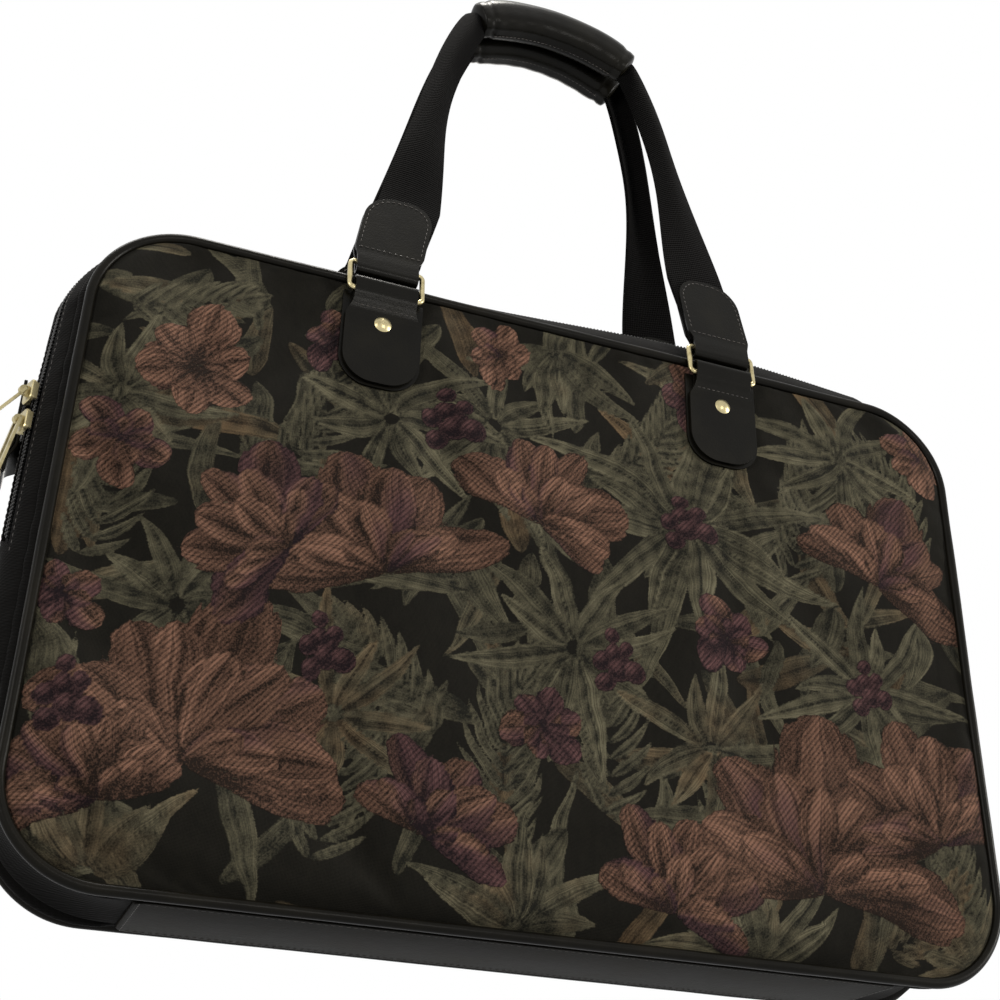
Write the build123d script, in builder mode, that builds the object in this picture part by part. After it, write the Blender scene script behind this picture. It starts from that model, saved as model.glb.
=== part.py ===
from build123d import *
import os
from math import asin, atan, cos, degrees, radians, sin, tan

os.makedirs("parts", exist_ok=True)

# The bag stands upright on its base strip, front panel facing -Y, length along X, all in millimetres
bag_length = 508.0
bag_height = 341.0
bag_depth = 66.0
corner_radius = 49.0
side_bulge = 18.0
top_bulge = 20.0
crest_upper_radius = 62.0
crest_lower_radius = 96.0

# Cloth, leatherette and board thicknesses
gusset_wall = 1.6
panel_thickness = 2.2
piping_radius = 2.75
strip_thickness = 2.0
strip_length = 380.0
board_thickness = 2.4
board_margin = 4.0
lining_wall = 0.6
lining_inset = 3.9
seam_gap = 0.3

# Zip round the top and half way down both ends, set towards the front
zip_y = -9.0
zip_opening = 9.6
zip_end_z = 165.0
tape_width = 28.0
tape_thickness = 0.8
tape_gap = 0.2
tape_overlap = 7.0
tape_split = 1.0
chain_width = 5.2
chain_proud = 0.3

# Zip sliders and their pulls, both at the left end
slider_heights = {"upper": 246.0, "lower": 229.0}
slider_width = 10.0
slider_length = 12.0
slider_plate = 1.9
slider_clearance = 0.6
flange_thickness = 1.2
crown_radius = 2.6
crown_width = 2.2
pull_tilts = {"upper": 33.0, "lower": 10.0}
pull_length = 33.0
pull_width = 8.0
pull_leg = 1.8
pull_thickness = 1.4
pull_foot = 5.0
pull_bar_radius = 0.8

# Hardware: wire and running clearance in every leather eye
wire_radius = 1.5
running_clearance = 0.05
leather = 1.8
ring_width = 41.0
ring_height = 19.0
ring_corner = 2.6
ring_side_clearance = 0.3

# Lower tabs on the panels, with a patch behind and one rivet each
tab_spacing = 206.0
tab_width = 42.0
tab_thickness = 2.2
tab_length = 56.0
tab_corner = 17.0
patch_thickness = 1.2
patch_margin = 1.5
bar_drop = 8.8
rivet_drop = 18.5
rivet_radius = 4.75
rivet_dome = 1.8
shank_radius = 1.5
rivet_tail = 1.0
tab_fold_drop = 12.0

# Handles: webbing, its leatherette ends over the rings, and a sewn grip
webbing_width = 38.0
webbing_thickness = 2.4
strap_end_width = 39.5
strap_end_length = 51.0
strap_end_corner = 16.0
handle_height = 261.0
grip_half_length = 52.0
grip_rise = 13.0
grip_height = 25.0
grip_thickness = 21.0
grip_edge_radius = 8.0
grip_spacing = 23.0
neck_width = 19.0
leg_straight = 33.0

# Side chapes with their D-rings
chape_y = 13.0
chape_top_z = 260.0
chape_foot_z = 222.0
chape_bar_z = 208.0
chape_stand_off = 10.4
d_ring_width = 28.0
d_ring_drop = 24.0
d_ring_corner = 3.0

# Values that follow from the ones above
half_depth = bag_depth / 2
seam_low = strip_thickness + gusset_wall / 2
seam_high = seam_low + bag_height
gusset_edge = half_depth - piping_radius - seam_gap
panel_face = half_depth + panel_thickness / 2
panel_inset = piping_radius + seam_gap
patch_face = panel_face + patch_thickness
tab_face = patch_face + tab_thickness
eye_radius = wire_radius + running_clearance
eye_outer = eye_radius + leather
bar_y = patch_face + eye_outer + seam_gap
tab_x = tab_spacing / 2
lower_bar_z = seam_high - bar_drop
rivet_z = lower_bar_z - rivet_drop
tab_bottom_z = lower_bar_z - tab_length
lean = degrees(asin((bar_y - grip_spacing / 2) / handle_height))
eye_width = ring_width - 2 * ring_corner - 2 * ring_side_clearance


def crest_share(y, edge):
    """How much of the bulge the gusset has at a depth y, from none at its edge to all at mid depth."""
    return 1 - (y / edge) ** 2


def bag_outline(y, grow, crest=0.0):
    """The bag's rounded outline at a depth y, grown all round, and bulged where crest is 1."""
    half = bag_length / 2 + side_bulge * crest + grow
    low = seam_low - grow
    high = seam_high + top_bulge * crest + grow
    upper = corner_radius + (crest_upper_radius - corner_radius) * crest + grow
    lower = corner_radius + (crest_lower_radius - corner_radius) * crest + grow
    with BuildSketch(Plane.XZ.offset(-y)) as profile:
        with Locations((0, (low + high) / 2)):
            Rectangle(2 * half, high - low)
        fillet(profile.vertices().group_by(Axis.Y)[0], lower)
        fillet(profile.vertices().group_by(Axis.Y)[-1], upper)
    return profile.sketch


def bag_form(grow, edge=gusset_edge):
    """The closed form of the bag between the panels, grown outwards or inwards."""
    sections = [bag_outline(-edge, grow), bag_outline(0, grow, 1.0), bag_outline(edge, grow)]
    with BuildPart() as form:
        loft(sections=sections)
    return form.part


def save(builder, name):
    """Name a finished piece and write it."""
    builder.part.label = name
    export_step(builder.part, f"parts/{name}.step")


gusset_outer = bag_form(gusset_wall / 2)
gusset_inner = bag_form(-gusset_wall / 2)

# Tapestry panels, inside their piping
for side, sign in (("front", -1), ("back", 1)):
    with BuildPart() as panel:
        extrude(bag_outline(sign * half_depth + panel_thickness / 2, -panel_inset), amount=panel_thickness)
        for x in (-tab_x, tab_x):
            with Locations(Plane.XZ.offset(-sign * half_depth) * Location((x, rivet_z, 0))):
                Hole(shank_radius + running_clearance)
    save(panel, f"{side}_panel")

# Piping round each panel
for side, sign in (("front", -1), ("back", 1)):
    with BuildPart() as piping:
        seam = bag_outline(sign * half_depth, 0.0).face().outer_wire()
        with BuildSketch(Plane(origin=seam @ 0, z_dir=seam % 0)):
            Circle(piping_radius)
        sweep(path=seam)
    save(piping, f"{side}_piping")

# Gusset bands either side of the zip, and the lower gusset that joins their ends under the bag
reach = bag_length
for side, near, far in (
    ("front", zip_y - zip_opening / 2, -half_depth),
    ("back", zip_y + zip_opening / 2, half_depth),
):
    with BuildPart() as band:
        add(gusset_outer)
        add(gusset_inner, mode=Mode.SUBTRACT)
        with Locations((0, (near + far) / 2, zip_end_z + reach / 2)):
            Box(2 * reach, abs(far - near), reach, mode=Mode.INTERSECT)
    save(band, f"{side}_gusset")

with BuildPart() as lower_gusset:
    add(gusset_outer)
    add(gusset_inner, mode=Mode.SUBTRACT)
    with Locations((0, 0, zip_end_z - reach / 2)):
        Box(2 * reach, bag_depth, reach, mode=Mode.INTERSECT)
save(lower_gusset, "lower_gusset")

# Leatherette strip under the base and the board that stiffens it
with BuildPart() as base_strip:
    with BuildSketch():
        RectangleRounded(strip_length, 2 * gusset_edge, 3 * strip_thickness)
    extrude(amount=strip_thickness)
save(base_strip, "base_strip")

board_length = bag_length + 2 * side_bulge - 2 * crest_lower_radius - board_margin
with BuildPart() as base_board:
    with BuildSketch(Plane.XY.offset(strip_thickness + gusset_wall)):
        RectangleRounded(board_length, 2 * gusset_edge - board_margin, board_margin)
    extrude(amount=board_thickness)
save(base_board, "base_board")

# Lining, open along the zip
lining_edge = panel_face - panel_thickness - rivet_tail - seam_gap
with BuildPart() as lining:
    add(bag_form(-lining_inset, lining_edge))
    add(bag_form(-lining_inset - lining_wall, lining_edge - lining_wall), mode=Mode.SUBTRACT)
    with Locations((0, zip_y, zip_end_z + reach / 2)):
        Box(2 * reach, 1.5 * zip_opening, reach, mode=Mode.SUBTRACT)
save(lining, "lining")

# Zip tapes under the gusset bands, and the chain between them
tape_outer = bag_form(-gusset_wall / 2 - tape_gap)
tape_inner = bag_form(-gusset_wall / 2 - tape_gap - tape_thickness)
tape_run = (tape_width - tape_split) / 2
tape_z = zip_end_z - tape_overlap
for side, sign in (("front", -1), ("back", 1)):
    with BuildPart() as tape:
        add(tape_outer)
        add(tape_inner, mode=Mode.SUBTRACT)
        with Locations((0, zip_y + sign * (tape_split + tape_run) / 2, tape_z + reach / 2)):
            Box(2 * reach, tape_run, reach, mode=Mode.INTERSECT)
    save(tape, f"{side}_zip_tape")

with BuildPart() as zip_chain:
    add(bag_form(gusset_wall / 2 + chain_proud))
    add(bag_form(-gusset_wall / 2), mode=Mode.SUBTRACT)
    with Locations((0, zip_y, zip_end_z + tape_overlap / 2 + reach / 2)):
        Box(2 * reach, chain_width, reach, mode=Mode.INTERSECT)
save(zip_chain, "zip_chain")

# Zip planes: z out of the gusset, x along its surface, y up
zip_x = bag_length / 2 + gusset_wall / 2 + side_bulge * crest_share(zip_y, gusset_edge)
zip_slope = atan(2 * side_bulge * abs(zip_y) / gusset_edge ** 2)
zip_out = Vector(-cos(zip_slope), -sin(zip_slope), 0)
zip_along = Vector(sin(zip_slope), -cos(zip_slope), 0)
plate_out = chain_proud + slider_clearance
crown_out = plate_out + slider_plate + crown_radius * 0.7
flange_out = -gusset_wall / 2
flange_x = chain_width / 2 + slider_clearance

for place, height in slider_heights.items():
    zip_plane = Plane(origin=(-zip_x, zip_y, height), x_dir=zip_along, z_dir=zip_out)
    side_plane = Plane(origin=zip_plane.origin, x_dir=zip_out, z_dir=zip_along * -1)
    with BuildPart() as slider:
        with BuildSketch(zip_plane.offset(plate_out)) as plate:
            RectangleRounded(slider_width, slider_length, slider_width / 4)
        extrude(amount=slider_plate)
        top = slider.faces().sort_by(Axis(zip_plane.origin, zip_plane.z_dir))[-1]
        chamfer(top.edges(), slider_plate / 4)
        with BuildSketch(zip_plane.offset(flange_out)) as flanges:
            with Locations(*[(s * (flange_x + flange_thickness / 2), 0) for s in (-1, 1)]):
                Rectangle(flange_thickness, slider_length * 0.75)
        extrude(amount=plate_out - flange_out)
        with BuildSketch(side_plane) as crown:
            with Locations((crown_out, 0)):
                Circle(crown_radius)
            with Locations((plate_out + slider_plate / 2 + crown_out / 2 - plate_out / 2, 0)):
                Rectangle(crown_out - plate_out - slider_plate / 2, 2 * crown_radius)
            with Locations((crown_out, 0)):
                Circle(pull_bar_radius + running_clearance, mode=Mode.SUBTRACT)
        extrude(amount=crown_width / 2, both=True)
    save(slider, f"{place}_slider")

    tilt = radians(pull_tilts[place])
    pivot = zip_plane.origin + zip_out * crown_out
    hang = Plane(
        origin=pivot,
        x_dir=zip_along,
        z_dir=zip_out * cos(tilt) + Vector(0, 0, sin(tilt)),
    )
    bar_plane = Plane(origin=pivot, x_dir=hang.z_dir, z_dir=zip_along)
    with BuildPart() as pull:
        with BuildSketch(bar_plane):
            Circle(pull_bar_radius)
        extrude(amount=pull_width / 2 - pull_leg / 2, both=True)
        with BuildSketch(hang):
            with Locations((0, -pull_length / 2 + pull_thickness / 2)):
                RectangleRounded(pull_width, pull_length + pull_thickness, pull_leg)
            with Locations((0, -(pull_length - pull_foot) / 2 + pull_thickness)):
                Rectangle(
                    pull_width - 2 * pull_leg,
                    pull_length - pull_foot + 2 * pull_thickness,
                    mode=Mode.SUBTRACT,
                )
        extrude(amount=pull_thickness / 2, both=True)
    save(pull, f"{place}_pull")

# Rivets through tab, patch and panel, one at each tab
dome_radius = (rivet_radius ** 2 + rivet_dome ** 2) / (2 * rivet_dome)
dome_angle = asin(rivet_radius / dome_radius) / 2
dome_middle = (dome_radius * sin(dome_angle), rivet_dome - dome_radius * (1 - cos(dome_angle)))
with BuildPart() as rivets:
    for sign in (-1, 1):
        for x in (-tab_x, tab_x):
            head = Plane(origin=(x, sign * tab_face, rivet_z), x_dir=(1, 0, 0), z_dir=(0, sign, 0))
            with BuildSketch(Plane(origin=head.origin, x_dir=(1, 0, 0), z_dir=(0, 0, sign))):
                with BuildLine():
                    ThreePointArc((0, rivet_dome), dome_middle, (rivet_radius, 0))
                    Polyline((rivet_radius, 0), (0, 0), (0, rivet_dome))
                make_face()
            revolve(axis=Axis(head.origin, head.z_dir))
            with BuildSketch(head):
                Circle(shank_radius)
            extrude(amount=-(tab_face - panel_face + panel_thickness))
            with BuildSketch(head.offset(-(tab_face - panel_face + panel_thickness))):
                Circle(rivet_radius * 0.8)
            extrude(amount=-rivet_tail)
save(rivets, "rivets")


def tab_outline(plane, x, width, bottom, top, corner):
    """A strip outline with rounded lower corners, hanging from top to bottom at x."""
    with BuildSketch(plane) as outline:
        with Locations((x, (bottom + top) / 2)):
            Rectangle(width, top - bottom)
        fillet(outline.vertices().group_by(Axis.Y)[0], corner)
    return outline.sketch


def lower_tab(x):
    """Leatherette tab at the front: flat on its patch, folded round the ring's lower bar."""
    fold_z = lower_bar_z - tab_fold_drop
    eye_top = lower_bar_z + eye_outer
    with BuildPart() as tab:
        with BuildSketch(Plane.YZ.offset(x)):
            with BuildLine():
                Polyline(
                    (-patch_face, tab_bottom_z),
                    (-patch_face, lower_bar_z),
                    (-bar_y - eye_outer, lower_bar_z),
                    (-tab_face, fold_z),
                    (-tab_face, tab_bottom_z),
                    close=True,
                )
            make_face()
            with Locations((-bar_y, lower_bar_z)):
                Circle(eye_outer)
                Circle(eye_radius, mode=Mode.SUBTRACT)
        extrude(amount=tab_width / 2, both=True)
        front = Plane.XZ.offset(patch_face - 1)
        with BuildSketch(front):
            add(tab_outline(Plane.XY, x, tab_width, tab_bottom_z, fold_z, tab_corner))
            with Locations((x, (fold_z + eye_top) / 2)):
                Rectangle(eye_width, eye_top - fold_z + 1)
        extrude(amount=4 * eye_outer, mode=Mode.INTERSECT)
        with Locations(Plane.XZ.offset(tab_face) * Location((x, rivet_z, 0))):
            Hole(shank_radius + running_clearance)
    return tab.part


def tab_patch(x):
    """Patch sewn under a front tab, showing a little all round."""
    with BuildPart() as patch:
        bottom = tab_bottom_z - patch_margin
        width = tab_width + 2 * patch_margin
        outline = tab_outline(Plane.XZ.offset(panel_face), x, width, bottom, lower_bar_z, tab_corner)
        extrude(outline, amount=patch_thickness)
        with Locations(Plane.XZ.offset(patch_face) * Location((x, rivet_z, 0))):
            Hole(shank_radius + running_clearance)
    return patch.part


# Handle plane: origin on the rings' lower bars, x along the bag, y up the leaning handle
handle_out = Vector(0, -cos(radians(lean)), sin(radians(lean)))
handle_plane = Plane(origin=(0, -bar_y, lower_bar_z), x_dir=(1, 0, 0), z_dir=handle_out)


def handle_side(x):
    """Plane across a handle at x: x out of the handle, y up it."""
    origin = Vector(x, -bar_y, lower_bar_z)
    return Plane(origin=origin, x_dir=handle_out, z_dir=(-1, 0, 0))


def handle_ring(x):
    """Rectangular ring of round wire between a lower tab and a strap end."""
    half = ring_width / 2
    with BuildPart() as ring:
        with BuildLine(handle_plane) as bars:
            FilletPolyline(
                (x + half, 0),
                (x + half, ring_height),
                (x - half, ring_height),
                (x - half, 0),
                radius=ring_corner,
                close=True,
            )
        with BuildSketch(Plane(origin=bars.line @ 0, z_dir=bars.line % 0)):
            Circle(wire_radius)
        sweep(path=bars.line)
    return ring.part


def strap_end(x):
    """Leatherette strap end folded round the ring's upper bar, a leaf on each side of the webbing."""
    leaf_top = ring_height + strap_end_length
    slot_foot = ring_height + eye_outer + leather
    with BuildPart() as end:
        with BuildSketch(handle_side(x)):
            with Locations((0, ring_height)):
                Circle(eye_outer)
            with Locations((0, (ring_height + leaf_top) / 2)):
                Rectangle(webbing_thickness + 2 * leather, strap_end_length)
            with Locations((0, ring_height)):
                Circle(eye_radius, mode=Mode.SUBTRACT)
            with Locations((0, (slot_foot + leaf_top) / 2)):
                Rectangle(
                    webbing_thickness + 2 * running_clearance, leaf_top - slot_foot, mode=Mode.SUBTRACT
                )
        extrude(amount=strap_end_width / 2, both=True)
        with BuildSketch(handle_plane.offset(-2 * eye_outer)) as outline:
            with Locations((x, (slot_foot + leaf_top) / 2)):
                Rectangle(strap_end_width, leaf_top - slot_foot)
            fillet(outline.vertices().group_by(Axis.Y)[-1], strap_end_corner)
            with Locations((x, slot_foot / 2 + ring_height / 2 - eye_outer / 2)):
                Rectangle(eye_width, slot_foot - ring_height + eye_outer)
        extrude(amount=4 * eye_outer, mode=Mode.INTERSECT)
    return end.part


grip_arc = (grip_half_length ** 2 + grip_rise ** 2) / (2 * grip_rise)
grip_centre = handle_height - grip_arc
grip_angle = degrees(asin(grip_half_length / grip_arc))
neck_angle = grip_angle + 4


def arch_point(radius, angle):
    """A point of the grip's arch, at an angle from its top."""
    return (radius * sin(radians(angle)), grip_centre + radius * cos(radians(angle)))


def arch_sector(width):
    """Sketch of the grip's arched sector, of a width across the arc."""
    outer = grip_arc + width / 2
    inner = grip_arc - width / 2
    with BuildSketch(handle_plane) as sector:
        with BuildLine():
            ThreePointArc(arch_point(outer, -grip_angle), (0, grip_centre + outer), arch_point(outer, grip_angle))
            Line(arch_point(outer, grip_angle), arch_point(inner, grip_angle))
            ThreePointArc(arch_point(inner, grip_angle), (0, grip_centre + inner), arch_point(inner, -grip_angle))
            Line(arch_point(inner, -grip_angle), arch_point(outer, -grip_angle))
        make_face()
    return sector.sketch


# Front webbing: one strap from ring to ring, gathered to a neck where it enters the grip
with BuildPart() as front_webbing:
    foot = ring_height + eye_outer + leather + seam_gap
    knee = foot + leg_straight
    outside = tab_x + webbing_width / 2
    inside = tab_x - webbing_width / 2
    outer = grip_arc + neck_width / 2
    inner = grip_arc - neck_width / 2
    with BuildSketch(handle_plane):
        with BuildLine():
            Polyline(
                arch_point(inner, neck_angle),
                (inside, knee),
                (inside, foot),
                (outside, foot),
                (outside, knee),
                arch_point(outer, neck_angle),
            )
            ThreePointArc(arch_point(outer, neck_angle), (0, grip_centre + outer), arch_point(outer, -neck_angle))
            Polyline(
                arch_point(outer, -neck_angle),
                (-outside, knee),
                (-outside, foot),
                (-inside, foot),
                (-inside, knee),
                arch_point(inner, -neck_angle),
            )
            ThreePointArc(arch_point(inner, -neck_angle), (0, grip_centre + inner), arch_point(inner, neck_angle))
        make_face()
    extrude(amount=webbing_thickness / 2, both=True)
save(front_webbing, "front_webbing")

# Front grip: a padded sleeve round the webbing
with BuildPart() as front_grip:
    extrude(arch_sector(grip_height), amount=grip_thickness / 2, both=True)
    long_edges = front_grip.edges().filter_by(GeomType.CIRCLE)
    fillet(long_edges, grip_edge_radius)
    slot = webbing_thickness / 2 + running_clearance
    extrude(arch_sector(neck_width + 2 * seam_gap), amount=slot, both=True, mode=Mode.SUBTRACT)
save(front_grip, "front_grip")

# The back handle is the front one mirrored
for piece, source in (("webbing", front_webbing), ("grip", front_grip)):
    with BuildPart() as twin:
        mirror(source.part, about=Plane.XZ)
    save(twin, f"back_{piece}")

for place, x in (("left", -tab_x), ("right", tab_x)):
    for piece, maker in (
        ("tab", lower_tab),
        ("patch", tab_patch),
        ("ring", handle_ring),
        ("strap_end", strap_end),
    ):
        with BuildPart() as front_piece:
            add(maker(x))
        save(front_piece, f"front_{place}_{piece}")
        with BuildPart() as back_piece:
            mirror(front_piece.part, about=Plane.XZ)
        save(back_piece, f"back_{place}_{piece}")

# Side chapes and D-rings: modelled at the left end and mirrored to the right
gusset_x = bag_length / 2 + gusset_wall / 2 + side_bulge
bar_x = gusset_x + chape_stand_off - eye_outer
chape_width = d_ring_width - 2 * d_ring_corner - 2 * ring_side_clearance
with BuildPart() as left_chape:
    with BuildSketch(Plane.XZ.offset(-chape_y)):
        with BuildLine():
            Polyline(
                (-gusset_x + side_bulge, chape_top_z),
                (-gusset_x - 2 * leather, chape_top_z),
                (-bar_x - eye_outer, chape_bar_z),
                (-bar_x, chape_bar_z - eye_outer / 2),
                (-gusset_x - leather, chape_foot_z),
                (-gusset_x + side_bulge, chape_foot_z),
                close=True,
            )
        make_face()
        with Locations((-bar_x, chape_bar_z)):
            Circle(eye_outer)
            Circle(eye_radius, mode=Mode.SUBTRACT)
    extrude(amount=chape_width / 2, both=True)
    add(bag_form(gusset_wall / 2 + 2 * running_clearance), mode=Mode.SUBTRACT)
save(left_chape, "left_chape")

d_plane = Plane(origin=(-bar_x, chape_y, chape_bar_z), x_dir=(0, 1, 0), z_dir=(1, 0, 0))
with BuildPart() as left_d_ring:
    half = d_ring_width / 2
    spring = d_ring_drop - half
    with BuildLine(d_plane) as bow:
        Line((-half + d_ring_corner, 0), (half - d_ring_corner, 0))
        JernArc((half - d_ring_corner, 0), (1, 0), d_ring_corner, -90)
        Line((half, -d_ring_corner), (half, -spring))
        ThreePointArc((half, -spring), (0, -d_ring_drop), (-half, -spring))
        Line((-half, -spring), (-half, -d_ring_corner))
        JernArc((-half, -d_ring_corner), (0, 1), d_ring_corner, -90)
    with BuildSketch(Plane(origin=bow.wire() @ 0, z_dir=bow.wire() % 0)):
        Circle(wire_radius)
    sweep(path=bow.wire())
save(left_d_ring, "left_d_ring")

for piece, source in (("chape", left_chape), ("d_ring", left_d_ring)):
    with BuildPart() as twin:
        mirror(source.part, about=Plane.YZ)
    save(twin, f"right_{piece}")
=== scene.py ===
"""Looks of the carpet bag: tapestry panels, piping, zip, leatherette trims, webbing handles and brass hardware."""

from __future__ import annotations

import logging
import math
from contextlib import contextmanager
from dataclasses import dataclass
from enum import Enum
from typing import Callable, Iterator

import bpy
import numpy as np
from mathutils import Matrix, Vector


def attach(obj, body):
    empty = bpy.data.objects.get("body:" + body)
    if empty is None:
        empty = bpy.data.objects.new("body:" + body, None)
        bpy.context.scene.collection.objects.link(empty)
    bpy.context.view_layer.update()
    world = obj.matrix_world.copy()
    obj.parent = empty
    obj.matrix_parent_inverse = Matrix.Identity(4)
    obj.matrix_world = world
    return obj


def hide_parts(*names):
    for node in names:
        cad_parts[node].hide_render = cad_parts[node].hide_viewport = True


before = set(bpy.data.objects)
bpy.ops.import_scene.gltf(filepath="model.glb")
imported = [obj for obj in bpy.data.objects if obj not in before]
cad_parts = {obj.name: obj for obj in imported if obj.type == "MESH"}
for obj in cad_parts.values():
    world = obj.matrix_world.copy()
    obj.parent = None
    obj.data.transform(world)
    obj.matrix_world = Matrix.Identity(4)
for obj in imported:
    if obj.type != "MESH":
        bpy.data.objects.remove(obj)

MM = 0.001
LOG = logging.getLogger("carpet_bag")
Array = np.ndarray
Piece = bpy.types.Object
Finish = bpy.types.Material
Rule = Callable[[Array, Array], Array]
Colour = tuple[float, float, float, float]
# Signs that mirror points (out, up) and meshes.
MIRROR = np.array([-1, 1])
MIRROR_X = Matrix.Diagonal((-1, 1, 1, 1))
MIRROR_Y = Matrix.Diagonal((1, -1, 1, 1))
# A wave texture's scale times the distance between its bands.
BAND = 0.314


def srgb(red: int, green: int, blue: int) -> Colour:
    """Linear colour of an 8-bit sRGB triple."""
    def linear(value: int) -> float:
        """Linear light of one channel."""
        c = value / 255
        return c / 12.92 if c <= 0.04045 else ((c + 0.055) / 1.055) ** 2.4
    return (linear(red), linear(green), linear(blue), 1.0)


class Side(Enum):
    """The two faces of the bag, with the direction each looks along Y."""
    FRONT = -1
    BACK = 1

    @property
    def label(self) -> str:
        """Name used in node names."""
        return self.name.lower()

    @property
    def turned(self) -> Matrix:
        """Matrix that takes a piece modelled at the front to this face."""
        return Matrix.Diagonal((1, -self.value, 1, 1))


class End(Enum):
    """The two ends of the bag, with their direction along X."""
    LEFT = -1
    RIGHT = 1

    @property
    def label(self) -> str:
        """Name used in node names."""
        return self.name.lower()


class Ground(Enum):
    """The two kinds of growth woven into the cloth."""
    LEAF = "leaf"
    PETAL = "petal"


# Shader maths


class Field:
    """A shader socket that takes part in Python arithmetic."""

    def __init__(self, graph: "Graph", socket: bpy.types.NodeSocket) -> None:
        """Keep the socket and the graph that it belongs to."""
        self.graph = graph
        self.socket = socket

    def _math(self, operation: str, *others: "Field | float") -> "Field":
        """Add one Math node that works on this socket."""
        inputs = dict(enumerate((self, *others)))
        return self.graph.node("ShaderNodeMath", {"operation": operation}, inputs)[0]

    def __add__(self, other: "Field | float") -> "Field":
        """Sum."""
        return self._math("ADD", other)

    __radd__ = __add__

    def __sub__(self, other: "Field | float") -> "Field":
        """Difference."""
        return self._math("SUBTRACT", other)

    def __rsub__(self, other: float) -> "Field":
        """Difference from a number."""
        return self._math("MULTIPLY", -1.0)._math("ADD", other)

    def __mul__(self, other: "Field | float") -> "Field":
        """Product."""
        return self._math("MULTIPLY", other)

    __rmul__ = __mul__

    def between(self, low: float, high: float) -> "Field":
        """A smooth step from 0 at low to 1 at high."""
        settings = {"interpolation_type": "SMOOTHSTEP"}
        return self.graph.node("ShaderNodeMapRange", settings, {0: self, 1: low, 2: high})[0]


class Graph:
    """One material's node tree, with a Principled shader at its end."""

    def __init__(self, name: str) -> None:
        """Start an empty material that ends in a Principled shader."""
        self.material = bpy.data.materials.new(name)
        self.material.use_nodes = True
        self.tree = self.material.node_tree
        self.tree.nodes.clear()
        self.output = self.tree.nodes.new("ShaderNodeOutputMaterial")
        self.shader = self.tree.nodes.new("ShaderNodeBsdfPrincipled")
        self.tree.links.new(self.shader.outputs[0], self.output.inputs[0])

    def node(self, kind: str, settings: dict | None = None, inputs: dict | None = None) -> list[Field]:
        """Add a node.

        Args:
            kind: the node's type name.
            settings: its own properties, set first.
            inputs: values or links of its sockets, by name or number.

        Returns:
            The node's outputs, ready for arithmetic.
        """
        node = self.tree.nodes.new(kind)
        for key, value in (settings or {}).items():
            setattr(node, key, value)
        for key, value in (inputs or {}).items():
            self.feed(node.inputs[key], value)
        return [Field(self, socket) for socket in node.outputs]

    def feed(self, socket: bpy.types.NodeSocket, value: "Field | float | tuple") -> None:
        """Link or set one input socket."""
        if isinstance(value, Field):
            self.tree.links.new(value.socket, socket)
        else:
            socket.default_value = value

    def place(self, stretch: tuple = (1, 1, 1), turn: tuple = (0, 0, 0), uv: bool = False) -> Field:
        """Object or UV coordinates through a Mapping node."""
        source = self.node("ShaderNodeTexCoord")[2 if uv else 3]
        return self.node("ShaderNodeMapping", None, {0: source, "Rotation": turn, "Scale": stretch})[0]

    def noise(self, where: Field, scale: float, detail: float = 2.0, rough: float = 0.5) -> Field:
        """Noise of about 0 to 1."""
        inputs = {"Vector": where, "Scale": scale, "Detail": detail, "Roughness": rough}
        return self.node("ShaderNodeTexNoise", None, inputs)[0]

    def streaks(self, along: Field) -> Field:
        """Uneven streaks of about 0 to 1 that follow one coordinate."""
        inputs = {"W": along, "Scale": 1.0, "Detail": 3.0, "Roughness": 0.6}
        return self.node("ShaderNodeTexNoise", {"noise_dimensions": "1D"}, inputs)[0].between(0.3, 0.7)

    def cells(self, where: Field, scale: float) -> Field:
        """Distance to the cells of a Voronoi pattern."""
        return self.node("ShaderNodeTexVoronoi", None, {"Vector": where, "Scale": scale})[0]

    def bands(self, where: Field, scale: float, direction: str = "X") -> Field:
        """Even bands from 0 to 1 across one direction."""
        settings = {"wave_type": "BANDS", "bands_direction": direction, "wave_profile": "SIN"}
        return self.node("ShaderNodeTexWave", settings, {"Vector": where, "Scale": scale})[1]

    def attribute(self, name: str) -> Field:
        """A number stored on the mesh."""
        return self.node("ShaderNodeAttribute", {"attribute_name": name})[2]

    def mix(self, factor: "Field | float", low: "Field | Colour", high: "Field | Colour") -> Field:
        """Colour between two colours."""
        settings = {"data_type": "RGBA", "clamp_factor": True}
        return self.node("ShaderNodeMix", settings, {0: factor, 6: low, 7: high})[2]

    def bump(self, height: Field, depth: float, strength: float = 1.0) -> Field:
        """Normal bent by a height of 0 to 1 that stands for a depth in metres."""
        return self.node("ShaderNodeBump", None, {"Height": height, "Distance": depth, "Strength": strength})[0]

    def finish(self, **sockets: "Field | float | tuple") -> Finish:
        """Set the shader's sockets, named with underscores for spaces."""
        for key, value in sockets.items():
            self.feed(self.shader.inputs[key.replace("_", " ")], value)
        return self.material


# Finishes


@dataclass(frozen=True)
class Leatherette:
    """Black-brown grained vinyl with a soft gloss."""
    name: str = "leatherette"
    colour: Colour = srgb(14, 13, 10)
    worn: Colour = srgb(31, 29, 22)
    roughness: float = 0.25
    gloss: float = 0.1
    grain: float = 0.00013

    def make(self) -> Finish:
        """Build the material."""
        graph = Graph(self.name)
        where = graph.place()
        pebbles = graph.cells(where, 900.0)
        creases = graph.noise(where, 160.0, 4.0, 0.6)
        patches = graph.noise(where, 28.0, 3.0)
        colour = graph.mix(patches.between(0.42, 0.78) * 0.45 + pebbles * 0.2, self.colour, self.worn)
        rough = self.roughness + patches * 0.09 + creases * 0.05
        relief = graph.bump(pebbles * 0.6 + creases, self.grain, 0.55)
        return graph.finish(
            Base_Color=colour, Roughness=rough, Normal=relief, Specular_IOR_Level=self.gloss,
        )


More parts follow.
